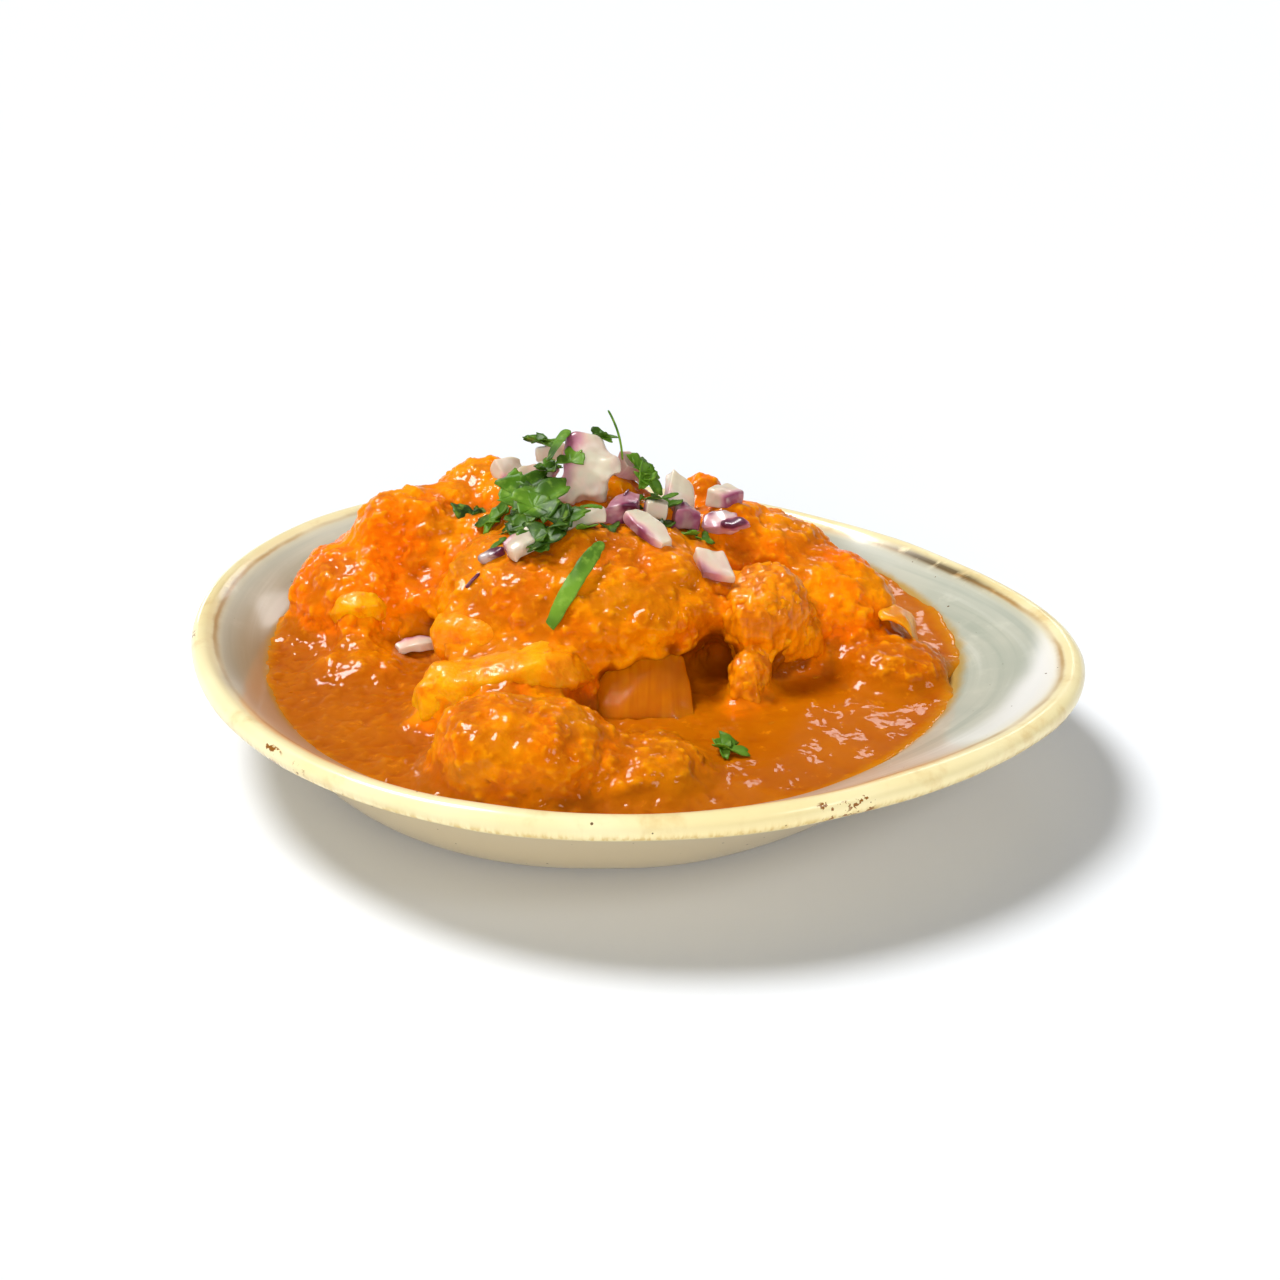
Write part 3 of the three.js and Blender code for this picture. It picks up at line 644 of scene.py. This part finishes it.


# %% Overhangs, crests and hollows, for painted shade and light in the colour
def relief_of(obj, rounds):
    """How far each point stands out of its smoothed surroundings, in millimetres."""
    place = points(obj)
    smooth = np.stack([even_out(obj, place[:, axis], rounds) for axis in range(3)], 1)
    normal = np.array([v.normal[:] for v in obj.data.vertices])
    return np.einsum("ij,ij->i", place - smooth, normal)


def sheltered(obj, reach):
    """1 where something hangs less than this far (mm) above a point, as under a lump."""
    tree = BVHTree.FromObject(obj, bpy.context.evaluated_depsgraph_get())
    up = Vector((0, 0, 1))
    hits = [tree.ray_cast(v.co + v.normal * MM, up, reach * MM)[0] is not None for v in obj.data.vertices]
    return even_out(obj, np.array(hits, float), 10)


set_attribute(curry, "sheltered", sheltered(curry, 30))
crest = relief_of(curry, 5) / 0.5 + relief_of(curry, 24) / 2.2
set_attribute(curry, "crest", np.clip(0.5 + 0.5 * crest, 0, 1))
print("crest", round(float(crest.std()), 2))

# %% [markdown]
# Curry sauce is an emulsion: light goes a few millimetres in and comes back warmer, and a film of oil on top
# gives small sharp glints. So the skin gets subsurface scattering that is widest in red, and a smooth coat.

# %% Glossy curry sauce
sauce_skin, tree, shader = new_material("curry_sauce_emulsion")
bright_here, heap_here, film_here, crest_here, thin_here, painted_shade_under_lumps = [
    add(tree, "ShaderNodeAttribute", {"attribute_name": name}).outputs["Fac"]
    for name in ("bright", "mound", "film", "crest", "thin", "sheltered")
]
broad = speckle(tree, 12, detail=3)
fine = speckle(tree, 2.4, detail=4, rough=0.65)
deep = lay_over(tree, "#c06000", ("#d27200", (broad, 0.35, 0.65)))
light = lay_over(tree, "#f27000", ("#fc9200", (broad, 0.35, 0.65)))
shade, on_heap, grain_depth = [
    add(tree, "ShaderNodeMath", {"operation": "MULTIPLY_ADD"}, i0=value, i1=factor, i2=base).outputs[0]
    for value, factor, base in ((fine, 0.5, bright_here), (heap_here, 0.75, 0.25), (heap_here, 0.85, 0.15))
]
colour = lay_over(
    tree, deep,
    (light, (shade, 0.15, 1.2)),
    ("#ff9c00", (speckle(tree, 6, detail=3, warp=0.5), 0.54, 0.68, 0, 0.6), heap_here),
    ("#ae5a00", (film_here, 0.2, 1.0, 0, 0.5)),
    # Crumbs of onion and meat stand out paler, and the crests are also painted lighter, as lit; the hollows
    # between them are painted darker as shade, where sauce also gathers.
    ("#ffa808", (crest_here, 0.52, 1.0, 0, 0.55), on_heap),
    ("#a44800", (crest_here, 0.42, 0.0, 0, 0.5)),
    ("#fca010", (fine, 0.6, 0.74, 0, 0.4)),
    ("#d08a08", (thin_here, 0.0, 1.0, 0, 0.55)),
    # Painted shade: the sauce is darkened to deep brown under overhanging lumps, where their shadow falls.
    ("#7c3200", (painted_shade_under_lumps, 0.2, 0.9, 0, 0.8)),
    ("#8a3a00", (speckle(tree, 1.3, detail=3), 0.66, 0.74, 0, 0.15)),
)
# The film of oil has finer waves than the sauce below it, so its glints are short and crisp.
oil = speckle(tree, 1.9, detail=1, rough=0.5, warp=0.4)
grain = mask(tree, speckle(tree, 1.4, detail=4, rough=0.6), grain_depth)
plug(tree, shader, {
    "Base Color": colour, "Roughness": 0.45, "IOR": 1.4, "Specular IOR Level": 0.1,
    "Specular Tint": "#ffb060", "Subsurface Weight": 0.25, "Subsurface Radius": (1.0, 0.4, 0.05),
    "Subsurface Scale": 1.6 * MM, "Coat Weight": mask(tree, (film_here, 0.0, 1.0, 0.34, 0.5)),
    "Coat Roughness": 0.05, "Coat IOR": 1.42,
    "Coat Normal": add(tree, "ShaderNodeBump", Strength=0.7, Distance=0.3 * MM, Height=oil).outputs[0],
    "Normal": add(tree, "ShaderNodeBump", Strength=0.8, Distance=0.45 * MM, Height=grain).outputs[0],
})
coated = [n for n in chicken if n not in BARE_CHICKEN]
dress(curry, sauce_skin, "curry_sauce", "sauce", *coated)

# %% [markdown]
# ## Chicken that pokes out of the sauce
# Cooked breast pulls apart along its fibres. The remeshed lump gets ridges that run down the piece, by noise
# that is stretched along the fibres, and its coat is thinner and paler.

# %% Fibrous chicken
fibrous = join(
    [copy_node("chicken_fibrous", "fibrous_under", 0.5), copy_node("chicken_shreds", "shreds_under", 0.4)],
    "fibrous_chicken",
)
apply_modifier(fibrous, "REMESH", mode="VOXEL", voxel_size=0.55 * MM, adaptivity=0.0)
apply_modifier(fibrous, "SMOOTH", factor=0.5, iterations=7)
place = points(fibrous)
normal = np.array([v.normal[:] for v in fibrous.data.vertices])
ridge = np.array([
    noise.noise(Vector((x / 2.2, y / 2.6, z / 9))) + 0.6 * noise.noise(Vector((x / 1.1, y / 1.3, z / 5)))
    for x, y, z in place
])
set_attribute(fibrous, "ridge", 0.5 + 0.5 * ridge)
set_points(fibrous, place + normal * (0.4 * ridge)[:, None])
displace(fibrous, pattern("meat_lumps", "CLOUDS", 4.5, noise_depth=1), 1.6)
add_crumbs(fibrous, 0.6 * np.ones(len(fibrous.data.vertices)))
apply_modifier(fibrous, "SMOOTH", factor=0.4, iterations=1)
smooth_shading(fibrous)

meat, tree, shader = new_material("chicken_breast_under_sauce")
ridge_here = add(tree, "ShaderNodeAttribute", {"attribute_name": "ridge"}).outputs["Fac"]
fine = speckle(tree, 2.0, detail=4, rough=0.65)
grain = speckle(tree, 1.2, detail=4, rough=0.6)
plug(tree, shader, {
    "Base Color": lay_over(
        tree, "#d47000", ("#f69000", (ridge_here, 0.3, 0.75)), ("#fbaa18", (fine, 0.54, 0.74, 0, 0.5)),
    ),
    "Roughness": 0.4, "Subsurface Weight": 0.35, "Subsurface Radius": (1.0, 0.45, 0.15),
    "Subsurface Scale": 2.5 * MM, "Specular IOR Level": 0.12, "Coat Weight": 0.5,
    "Coat Roughness": 0.07, "Coat IOR": 1.42,
    "Normal": add(tree, "ShaderNodeBump", Strength=0.8, Distance=0.4 * MM, Height=grain).outputs[0],
})
dress(fibrous, meat, "sauced_chicken", *BARE_CHICKEN)

# %% [markdown]
# ## Mango
# Soft ripe mango is smooth and brighter than anything round it, and the sauce lies on it in patches.

# %% Ripe mango
flesh, tree, shader = new_material("ripe_mango_flesh")
broad = speckle(tree, 9, detail=3, warp=0.6)
fine = speckle(tree, 2.6, detail=4, rough=0.6)
grain = speckle(tree, 1.4, detail=4, rough=0.6)
plug(tree, shader, {
    "Base Color": lay_over(
        tree, "#ff9600", ("#ffb000", (broad, 0.36, 0.62)), ("#e87400", (fine, 0.52, 0.7, 0, 0.75)),
    ),
    "Roughness": 0.4, "Specular IOR Level": 0.15, "Subsurface Weight": 0.4,
    "Subsurface Radius": (1.0, 0.5, 0.08), "Subsurface Scale": 3.0 * MM, "Coat Weight": 0.35,
    "Coat Roughness": 0.08, "Coat IOR": 1.42,
    "Normal": add(tree, "ShaderNodeBump", Strength=0.8, Distance=0.6 * MM, Height=grain).outputs[0],
})

# Each piece of mango and how far it is swollen (mm), so that it stands out of the skin of sauce.
for name, inflate in (("mango_slice", 0.9), ("mango_lobe", 0.5), ("mango_left", 0.3)):
    piece = copy_node(name, "ripe_" + name, inflate)
    apply_modifier(piece, "REMESH", mode="VOXEL", voxel_size=0.65 * MM, adaptivity=0.0)
    apply_modifier(piece, "SMOOTH", factor=0.5, iterations=10)
    displace(piece, pattern("fruit_swells", "CLOUDS", 8, noise_depth=2), 1.8)
    add_crumbs(piece, 0.45 * np.ones(len(piece.data.vertices)))
    smooth_shading(piece)
    dress(piece, flesh, "sauced_mango", name)

# %% [markdown]
# ## Cooked onion
# A petal of onion goes glassy when it cooks. Its veins run from root to tip, about a millimetre apart.

# %% Cooked onion petals
glassy, tree, shader = new_material("cooked_onion_layer")
veins = add(
    tree, "ShaderNodeTexNoise", Vector=place_of(tree, (700, 70, 70), (0, math.radians(12), 0)), Scale=0.7,
    Detail=2.0, Distortion=0.5,
).outputs[0]
broad = speckle(tree, 8, detail=2)
gold = add(tree, "ShaderNodeAttribute", {"attribute_name": "gold"}).outputs["Fac"]
golden = lay_over(tree, "#ee8c06", ("#ffac1c", (speckle(tree, 4, detail=3), 0.4, 0.65)))
plug(tree, shader, {
    "Base Color": lay_over(
        tree, "#c66a00", ("#d47c02", (veins, 0.2, 0.8)), ("#b85c00", (broad, 0.4, 0.7, 0, 0.6)),
        (golden, gold),
    ),
    "Roughness": 0.25, "Subsurface Weight": 0.6, "Subsurface Radius": (1.0, 0.5, 0.12),
    "Subsurface Scale": 3.5 * MM, "Specular IOR Level": 0.15, "Coat Weight": 0.35,
    "Coat Roughness": 0.1, "Coat IOR": 1.42,
    "Normal": add(tree, "ShaderNodeBump", Strength=0.4, Distance=0.12 * MM, Height=veins).outputs[0],
})

# The curl is a little larger than its solid and stands out of the sauce, towards the front.
CURL_SIZE = 1.15
CURL_SHIFT = np.array([0, -1.5, 1.5])
for name in ("onion_cooked_petal", "onion_cooked_curl"):
    piece = copy_node(name, "glassy_" + name)
    is_curl = name == "onion_cooked_curl"
    if is_curl:
        place = points(piece)
        middle = (place.max(0) + place.min(0)) / 2
        set_points(piece, middle + (place - middle) * CURL_SIZE + CURL_SHIFT)
    edit(piece)
    bpy.ops.mesh.tris_convert_to_quads()
    bpy.ops.mesh.subdivide(number_cuts=1)
    leave_edit()
    apply_modifier(piece, "SUBSURF", levels=2, render_levels=2)
    displace(piece, pattern("petal_swells", "CLOUDS", 7, noise_depth=1), 3.0 if is_curl else 1.1)
    smooth_shading(piece)
    set_attribute(piece, "gold", np.full(len(piece.data.vertices), 0.85 if is_curl else 0.0))
    dress(piece, glassy, "cooked_onion", name)

# %% [markdown]
# ## Raw red onion
# Each die is cut from a curved layer: white, wet flesh with a purple skin on its outer face, which shows
# as a coloured edge. The edges are crisp but not sharp, so a bevel of about half a millimetre rounds them.

# %% Onion dice, slivers and the big petal
raw, tree, shader = new_material("raw_red_onion")
skin = add(tree, "ShaderNodeAttribute", {"attribute_name": "skin"}).outputs["Fac"]
streaks = speckle(tree, 3.0, detail=3)
fine = speckle(tree, 1.0, detail=3)
warped = add(
    tree, "ShaderNodeMath", {"operation": "MULTIPLY_ADD"}, i0=streaks, i1=0.5, i2=skin,
).outputs[0]
tint = add(tree, "ShaderNodeValToRGB", Fac=warped)
FLESH_TO_SKIN = ((0.2, "#dad0b8"), (0.36, "#e2c4b4"), (0.6, "#c9909a"), (0.86, "#8e4260"), (1.0, "#5c1f3c"))
stops = tint.color_ramp.elements
while len(stops) < len(FLESH_TO_SKIN):
    stops.new(0.5)
for stop, (share, code) in zip(stops, FLESH_TO_SKIN):
    stop.position = share
    stop.color = linear(code)
# The wet flesh is glassy in some places and milky in others.
milky = speckle(tree, 4.5, detail=3, warp=0.4)
plug(tree, shader, {
    "Base Color": lay_over(
        tree, tint.outputs["Color"], ("#b9a98e", (milky, 0.48, 0.3, 0, 0.35)),
        ("#f0e6da", (milky, 0.54, 0.7, 0, 0.5)),
    ),
    "Roughness": 0.3, "Subsurface Weight": 0.5, "Subsurface Radius": (1.0, 0.75, 0.6),
    "Subsurface Scale": 2.5 * MM, "Coat Weight": 0.2, "Coat Roughness": 0.15,
    "Normal": add(tree, "ShaderNodeBump", Strength=0.5, Distance=0.12 * MM, Height=fine).outputs[0],
})

# How purple each piece is, from 0 to 1; the others have a thin coloured edge alone.
PURPLE = {
    "onion_die_6": 0.2, "onion_die_7": 0.45, "onion_die_9": 0.6, "onion_sliver_2": 0.3,
    "onion_sliver_3": 0.5, "onion_sliver_5": 0.95, "onion_sliver_6": 0.8,
}


def cut_layers(petal):
    """Turns the one big petal into three cut layers that lean on each other inside its own space."""
    place = points(petal)
    middle = Vector((place.max(0) + place.min(0)) / 2) * MM
    height = float(np.ptp(place[:, 2]))
    layers = []
    # Turn and tip in degrees, size along each axis, and shift as a share of the petal's height.
    for turn, tip, size, shift in (
        (0, 0, (0.95, 0.85, 0.98), (0.0, 0.05, 0.0)),
        (25, -12, (0.62, 0.6, 0.5), (-0.22, -0.12, -0.24)),
        (-20, 20, (0.62, 0.6, 0.44), (0.24, 0.0, 0.06)),
    ):
        layer = petal.copy()
        layer.data = petal.data.copy()
        bpy.context.scene.collection.objects.link(layer)
        edit(layer)
        bpy.ops.transform.resize(value=size, center_override=middle)
        bpy.ops.transform.rotate(value=math.radians(turn), orient_axis="Z", center_override=middle)
        bpy.ops.transform.rotate(value=math.radians(tip), orient_axis="Y", center_override=middle)
        bpy.ops.transform.translate(value=Vector(shift) * height * MM)
        leave_edit()
        layers.append(layer)
    bpy.data.objects.remove(petal)
    return join(layers, "onion_petal_raw")


raw_pieces = []
raw_nodes = sorted(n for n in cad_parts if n.startswith(("onion_die", "onion_sliver", "onion_petal")))
for number, name in enumerate(raw_nodes):
    piece = copy_node(name, name + "_raw")
    is_petal = name == "onion_petal"
    if is_petal:
        piece = cut_layers(piece)
    edit(piece)
    bpy.ops.mesh.tris_convert_to_quads()
    leave_edit()
    apply_modifier(
        piece, "BEVEL", width=0.45 * MM, segments=2, limit_method="ANGLE", angle_limit=math.radians(40),
    )
    apply_modifier(piece, "SUBSURF", subdivision_type="SIMPLE", levels=2, render_levels=2)
    if is_petal:
        apply_modifier(piece, "REMESH", mode="VOXEL", voxel_size=0.5 * MM, adaptivity=0.0)
        apply_modifier(piece, "SMOOTH", factor=0.5, iterations=14)
        displace(piece, pattern("petal_bends", "CLOUDS", 9, noise_depth=1), 3.2)
    displace(piece, pattern("cut_" + name, "CLOUDS", 4.5, noise_depth=1), 0.8 if is_petal else 2.0)
    apply_modifier(piece, "SMOOTH", factor=0.5, iterations=2)
    place = points(piece)
    middle = place.mean(0)
    _, ways = np.linalg.eigh(np.cov((place - middle).T))
    # The purple outer skin is on one upright side of a die, and on the left of the petal.
    upright = min((0, 1), key=lambda i: abs(ways[2, i]))
    way = ways[:, upright] * (1 if number % 2 else -1)
    if is_petal:
        way = np.array([-0.85, -0.2, 0.5])
    depth = (place - middle) @ way
    depth = (depth - depth.min()) / (depth.max() - depth.min())
    set_attribute(piece, "skin", np.clip(step(depth, 0.6, 1.0) * 0.62 + PURPLE.get(name, 0.0), 0, 1))
    raw_pieces.append(piece)
raw_onion = join(raw_pieces, "raw_red_onion")
smooth_shading(raw_onion)
dress(raw_onion, raw, "raw_onion", *raw_nodes)

# %% Small scraps that fell from the knife
def drop_on(targets):
    """Returns a function that finds the highest surface of these pieces at a place in plan (mm)."""
    trees = [BVHTree.FromObject(obj, bpy.context.evaluated_depsgraph_get()) for obj in targets]

    def find(x, y):
        start = Vector((x, y, 120)) * MM
        hits = [tree.ray_cast(start, Vector((0, 0, -1))) for tree in trees]
        spot, normal = max((hit[:2] for hit in hits if hit[0] is not None), key=lambda hit: hit[0].z)
        return spot / MM, normal

    return find


surface = drop_on([curry, raw_onion])
scraps = []
# Place in plan (mm), size against the sliver they are cut from, and heading.
for x, y, size, turn in (
    (0, 6, 0.5, 20), (5, 1, 0.42, 80), (13, 1, 0.36, -30), (-19, -7, 0.4, 50), (10, 11, 0.4, 10),
    (-31, 6, 0.36, 120), (20, 5, 0.34, 60), (-9, -4, 0.34, 150),
):
    spot, _ = surface(x, y)
    piece = copy_node("onion_sliver_5", f"scrap_{x}_{y}")
    place = points(piece)
    place = (place - place.mean(0)) * size
    spin = np.array(Matrix.Rotation(math.radians(turn), 3, "Z"))
    set_points(piece, place @ spin.T + np.array(spot) + np.array([0, 0, 0.25]))
    apply_modifier(piece, "SUBSURF", levels=2, render_levels=2)
    set_attribute(piece, "skin", np.full(len(piece.data.vertices), 0.75 + 0.1 * (turn % 3)))
    scraps.append(piece)
onion_scraps = join(scraps, "purple_onion_scraps")
smooth_shading(onion_scraps)
dress(onion_scraps, raw, "raw_onion")

# %% [markdown]
# ## Coriander
# A coriander leaflet is a thin fan with three main lobes, each cut into blunt teeth, on a thin stalk. It is
# made once as a flat fan, then copied, bent and laid where each leaf of the solids lies.

# %% One leaflet
FAN_STEPS = 40
RINGS = 7


def leaflet(seed, base, along, side, up, length, width, cup):
    """A cut leaflet as a mesh of one sheet. It starts at its base and grows along a direction."""
    rows = []
    for r in range(RINGS + 1):
        row = []
        share = r / RINGS
        for k in range(FAN_STEPS + 1):
            angle = (k / FAN_STEPS - 0.5) * math.radians(230)
            lobes = 0.62 + 0.38 * abs(math.cos(1.55 * angle)) ** 0.7
            teeth = 1 + 0.13 * abs(math.cos(4.5 * angle + seed)) + 0.04 * math.cos(15 * angle + 2 * seed)
            reach = share * lobes * (1 + (teeth - 1) * share ** 3)
            x = reach * math.cos(angle) * length * 0.82 + 0.12 * length * share
            y = reach * math.sin(angle) * width * 0.62
            wave = 0.05 * length * share * math.sin(4 * angle + seed)
            lift = cup * (y / width) ** 2 * 2.2 - 0.35 * cup * (x / length) ** 2 + wave
            row.append(base + along * x + side * y + up * lift)
        rows.append(row)
    return rows


def sheet_of(rows, name):
    """A mesh from rows of points; the first row is one point."""
    tip = [rows[0][0]]
    corners = tip + [p for row in rows[1:] for p in row]
    n = len(rows[1])
    faces = [(0, 1 + k, 2 + k) for k in range(n - 1)]
    for r in range(len(rows) - 2):
        a, b = 1 + r * n, 1 + (r + 1) * n
        faces += [(a + k, b + k, b + k + 1, a + k + 1) for k in range(n - 1)]
    mesh = bpy.data.meshes.new(name)
    mesh.from_pydata([Vector(c) * MM for c in corners], [], faces)
    obj = bpy.data.objects.new(name, mesh)
    bpy.context.scene.collection.objects.link(obj)
    return obj


def plane_of(node):
    """The middle, the long way, the wide way and the normal of a flat node, with its two sizes."""
    place = points(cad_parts[node])
    middle = (place.max(0) + place.min(0)) / 2
    _, ways = np.linalg.eigh(np.cov((place - middle).T))
    up, side, along = (Vector(ways[:, i]) for i in range(3))
    if up.z < 0:
        up = -up
    extents = [float(np.ptp(place @ ways[:, i])) for i in (2, 1)]
    return Vector(middle), along, side, up, extents


leaf_nodes = sorted(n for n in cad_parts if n.startswith("coriander_leaf"))
# The stalks meet about here, so each leaf points away from it.
BUNCH = Vector((-22, 2, 60))
# Leaves below this height (mm) lie on the pool, and are smaller than their solids by this factor.
LOW_LEAF = 40
LOW_LEAF_SIZE = 0.72
blades = []
for number, name in enumerate(leaf_nodes):
    middle, along, side, up, (length, width) = plane_of(name)
    if (middle - BUNCH).dot(along) < 0:
        along = -along
    side = up.cross(along)
    if middle.z < LOW_LEAF:
        length, width = LOW_LEAF_SIZE * length, LOW_LEAF_SIZE * width
    base = middle - along * length * 0.5
    for turn, size, tip in ((0, 1.0, 0), (58, 0.72, 9), (-58, 0.72, -9)):
        spin = Matrix.Rotation(math.radians(turn), 3, up)
        tilt = Matrix.Rotation(math.radians(tip), 3, along)
        way, wide, high = spin @ along, tilt @ (spin @ side), tilt @ up
        cup = 0.9 + 0.7 * ((number * 5 + turn) % 3)
        rows = leaflet(
            1.7 * number + turn, base + high * 0.3, way, wide, high,
            length * 0.92 * size, max(width, 0.7 * length) * 0.9 * size, cup,
        )
        blade = sheet_of(rows, f"blade_{number}_{turn}")
        set_attribute(blade, "pale", np.full(len(blade.data.vertices), ((number * 7 + turn) % 5) / 9))
        blades.append(blade)
# Scraps of leaf between the onions: place in plan, length and heading.
for number, (x, y, length, turn) in enumerate((
    (2, 9, 6.5, 20), (8, 8, 7, 140), (5, 3, 5, 250), (12, 5, 5.5, 60), (17, 2, 4, 190),
    (-4.5, -4, 5, 280), (-10, -9, 5, 10), (-27, -9, 5, 200), (-15, -3, 6, 100), (23, 3, 4, 330),
    (0, 15, 6, 170), (-15, 12, 7, 80), (14, 11, 5, 30), (-32, 3, 5, 220), (9, -2, 4, 300),
)):
    spot, normal = surface(x, y)
    high = (normal + Vector((0.3 * math.cos(turn), 0.3 * math.sin(turn), 1.0))).normalized()
    heading = math.radians(turn)
    along = high.cross(Vector((math.sin(heading), -math.cos(heading), 0.1))).normalized()
    base = spot + high * 0.5 - along * length / 2
    rows = leaflet(2.3 * number, base, along, high.cross(along), high, length, length * 0.9, 1.4)
    blade = sheet_of(rows, f"scrap_of_leaf_{number}")
    set_attribute(blade, "pale", np.full(len(blade.data.vertices), (number * 3 % 7) / 7))
    blades.append(blade)
coriander = join(blades, "coriander_leaves")
apply_modifier(coriander, "SOLIDIFY", thickness=0.3 * MM, offset=0.0)
smooth_shading(coriander)

green, tree, shader = new_material("fresh_coriander_leaf")
broad = speckle(tree, 7, detail=2)
fine = speckle(tree, 1.1, detail=3)
pale = add(tree, "ShaderNodeAttribute", {"attribute_name": "pale"}).outputs["Fac"]
pale_green = lay_over(tree, "#4f7a1a", ("#74a02c", (broad, 0.4, 0.6)))
plug(tree, shader, {
    "Base Color": lay_over(
        tree, "#1f3a06", ("#4f7c12", (broad, 0.35, 0.65)), (pale_green, pale),
        ("#94b844", (fine, 0.5, 0.75, 0, 0.5)),
    ),
    "Roughness": 0.45, "Specular IOR Level": 0.3, "Subsurface Weight": 0.15,
    "Subsurface Radius": (0.5, 1.0, 0.2), "Subsurface Scale": 1.0 * MM,
    "Normal": add(tree, "ShaderNodeBump", Strength=0.6, Distance=0.2 * MM, Height=fine).outputs[0],
})
dress(coriander, green, "coriander", *leaf_nodes)

# %% Strips of leaf and stalk
strip_nodes = sorted(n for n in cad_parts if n.startswith("coriander_strip"))
strips = []
for name in strip_nodes:
    piece = copy_node(name, name + "_cut")
    edit(piece)
    bpy.ops.mesh.tris_convert_to_quads()
    leave_edit()
    apply_modifier(piece, "SUBSURF", levels=2, render_levels=2)
    displace(piece, pattern("crease_" + name, "CLOUDS", 3, noise_depth=2), 0.9)
    strips.append(piece)
strips = join(strips, "coriander_strips")
place = points(strips)
# Strips on the top of the heap (mm) are darker than those lower down.
TOP_OF_HEAP = 62
set_attribute(strips, "pale", np.where(place[:, 2] > TOP_OF_HEAP, 0.25, 0.85))
smooth_shading(strips)
dress(strips, green, "coriander", *strip_nodes)

thread = copy_node("coriander_thread", "stalk_thread")
apply_modifier(thread, "SUBSURF", levels=2, render_levels=2)
smooth_shading(thread)
set_attribute(thread, "pale", np.ones(len(thread.data.vertices)))
dress(thread, green, "coriander", "coriander_thread")

# %% [markdown]
# ## Floor and light
# A white table under soft daylight from behind and to the left. Suns that are small and weak stand for
# windows, which the wet sauce and the glaze mirror as glints. The sun in front only lights, and nothing
# mirrors it.

# %% Floor, world and lamps
bpy.ops.mesh.primitive_plane_add(size=60, location=(0, 0, 0))
floor = bpy.context.view_layer.objects.active
floor.name = "table_top"
paper, tree, shader = new_material("white_table")
plug(tree, shader, {"Base Color": "#edf0f4", "Roughness": 0.9, "Specular IOR Level": 0.1})
floor.data.materials.append(paper)

world = bpy.data.worlds.new("room")
world.use_nodes = True
sky = world.node_tree
background = sky.nodes["Background"]
direction = add(sky, "ShaderNodeTexCoord").outputs["Generated"]
up_there = add(sky, "ShaderNodeSeparateXYZ", Vector=direction).outputs["Z"]
strength = mask(sky, (up_there, 0.02, 0.16, 1.0, 0.12))
plug(sky, background, {"Color": (1.0, 1.0, 1.0, 1.0), "Strength": strength})
bpy.context.scene.world = world
bpy.context.scene.view_settings.view_transform = "Standard"


def daylight(name, azimuth, height, strength, width, mirrored=True):
    """A sun that shines from a compass bearing (degrees from +X) and height, as wide as a window looks."""
    light = bpy.data.lights.new(name, "SUN")
    light.energy = strength
    light.angle = math.radians(width)
    obj = bpy.data.objects.new(name, light)
    turn, rise = math.radians(azimuth), math.radians(height)
    way = Vector((math.cos(turn) * math.cos(rise), math.sin(turn) * math.cos(rise), math.sin(rise)))
    obj.rotation_euler = way.to_track_quat("Z", "Y").to_euler()
    obj.visible_glossy = mirrored
    bpy.context.scene.collection.objects.link(obj)


daylight("window", 150, 60, 2.9, 20)
daylight("room_front", -95, 18, 1.75, 40, mirrored=False)
daylight("low_window", 122, 5, 0.08, 8)
daylight("back_window", 76, 28.5, 0.12, 9)
daylight("side_window", -38, 45, 0.35, 14)
print("lamps", len(bpy.data.lights))
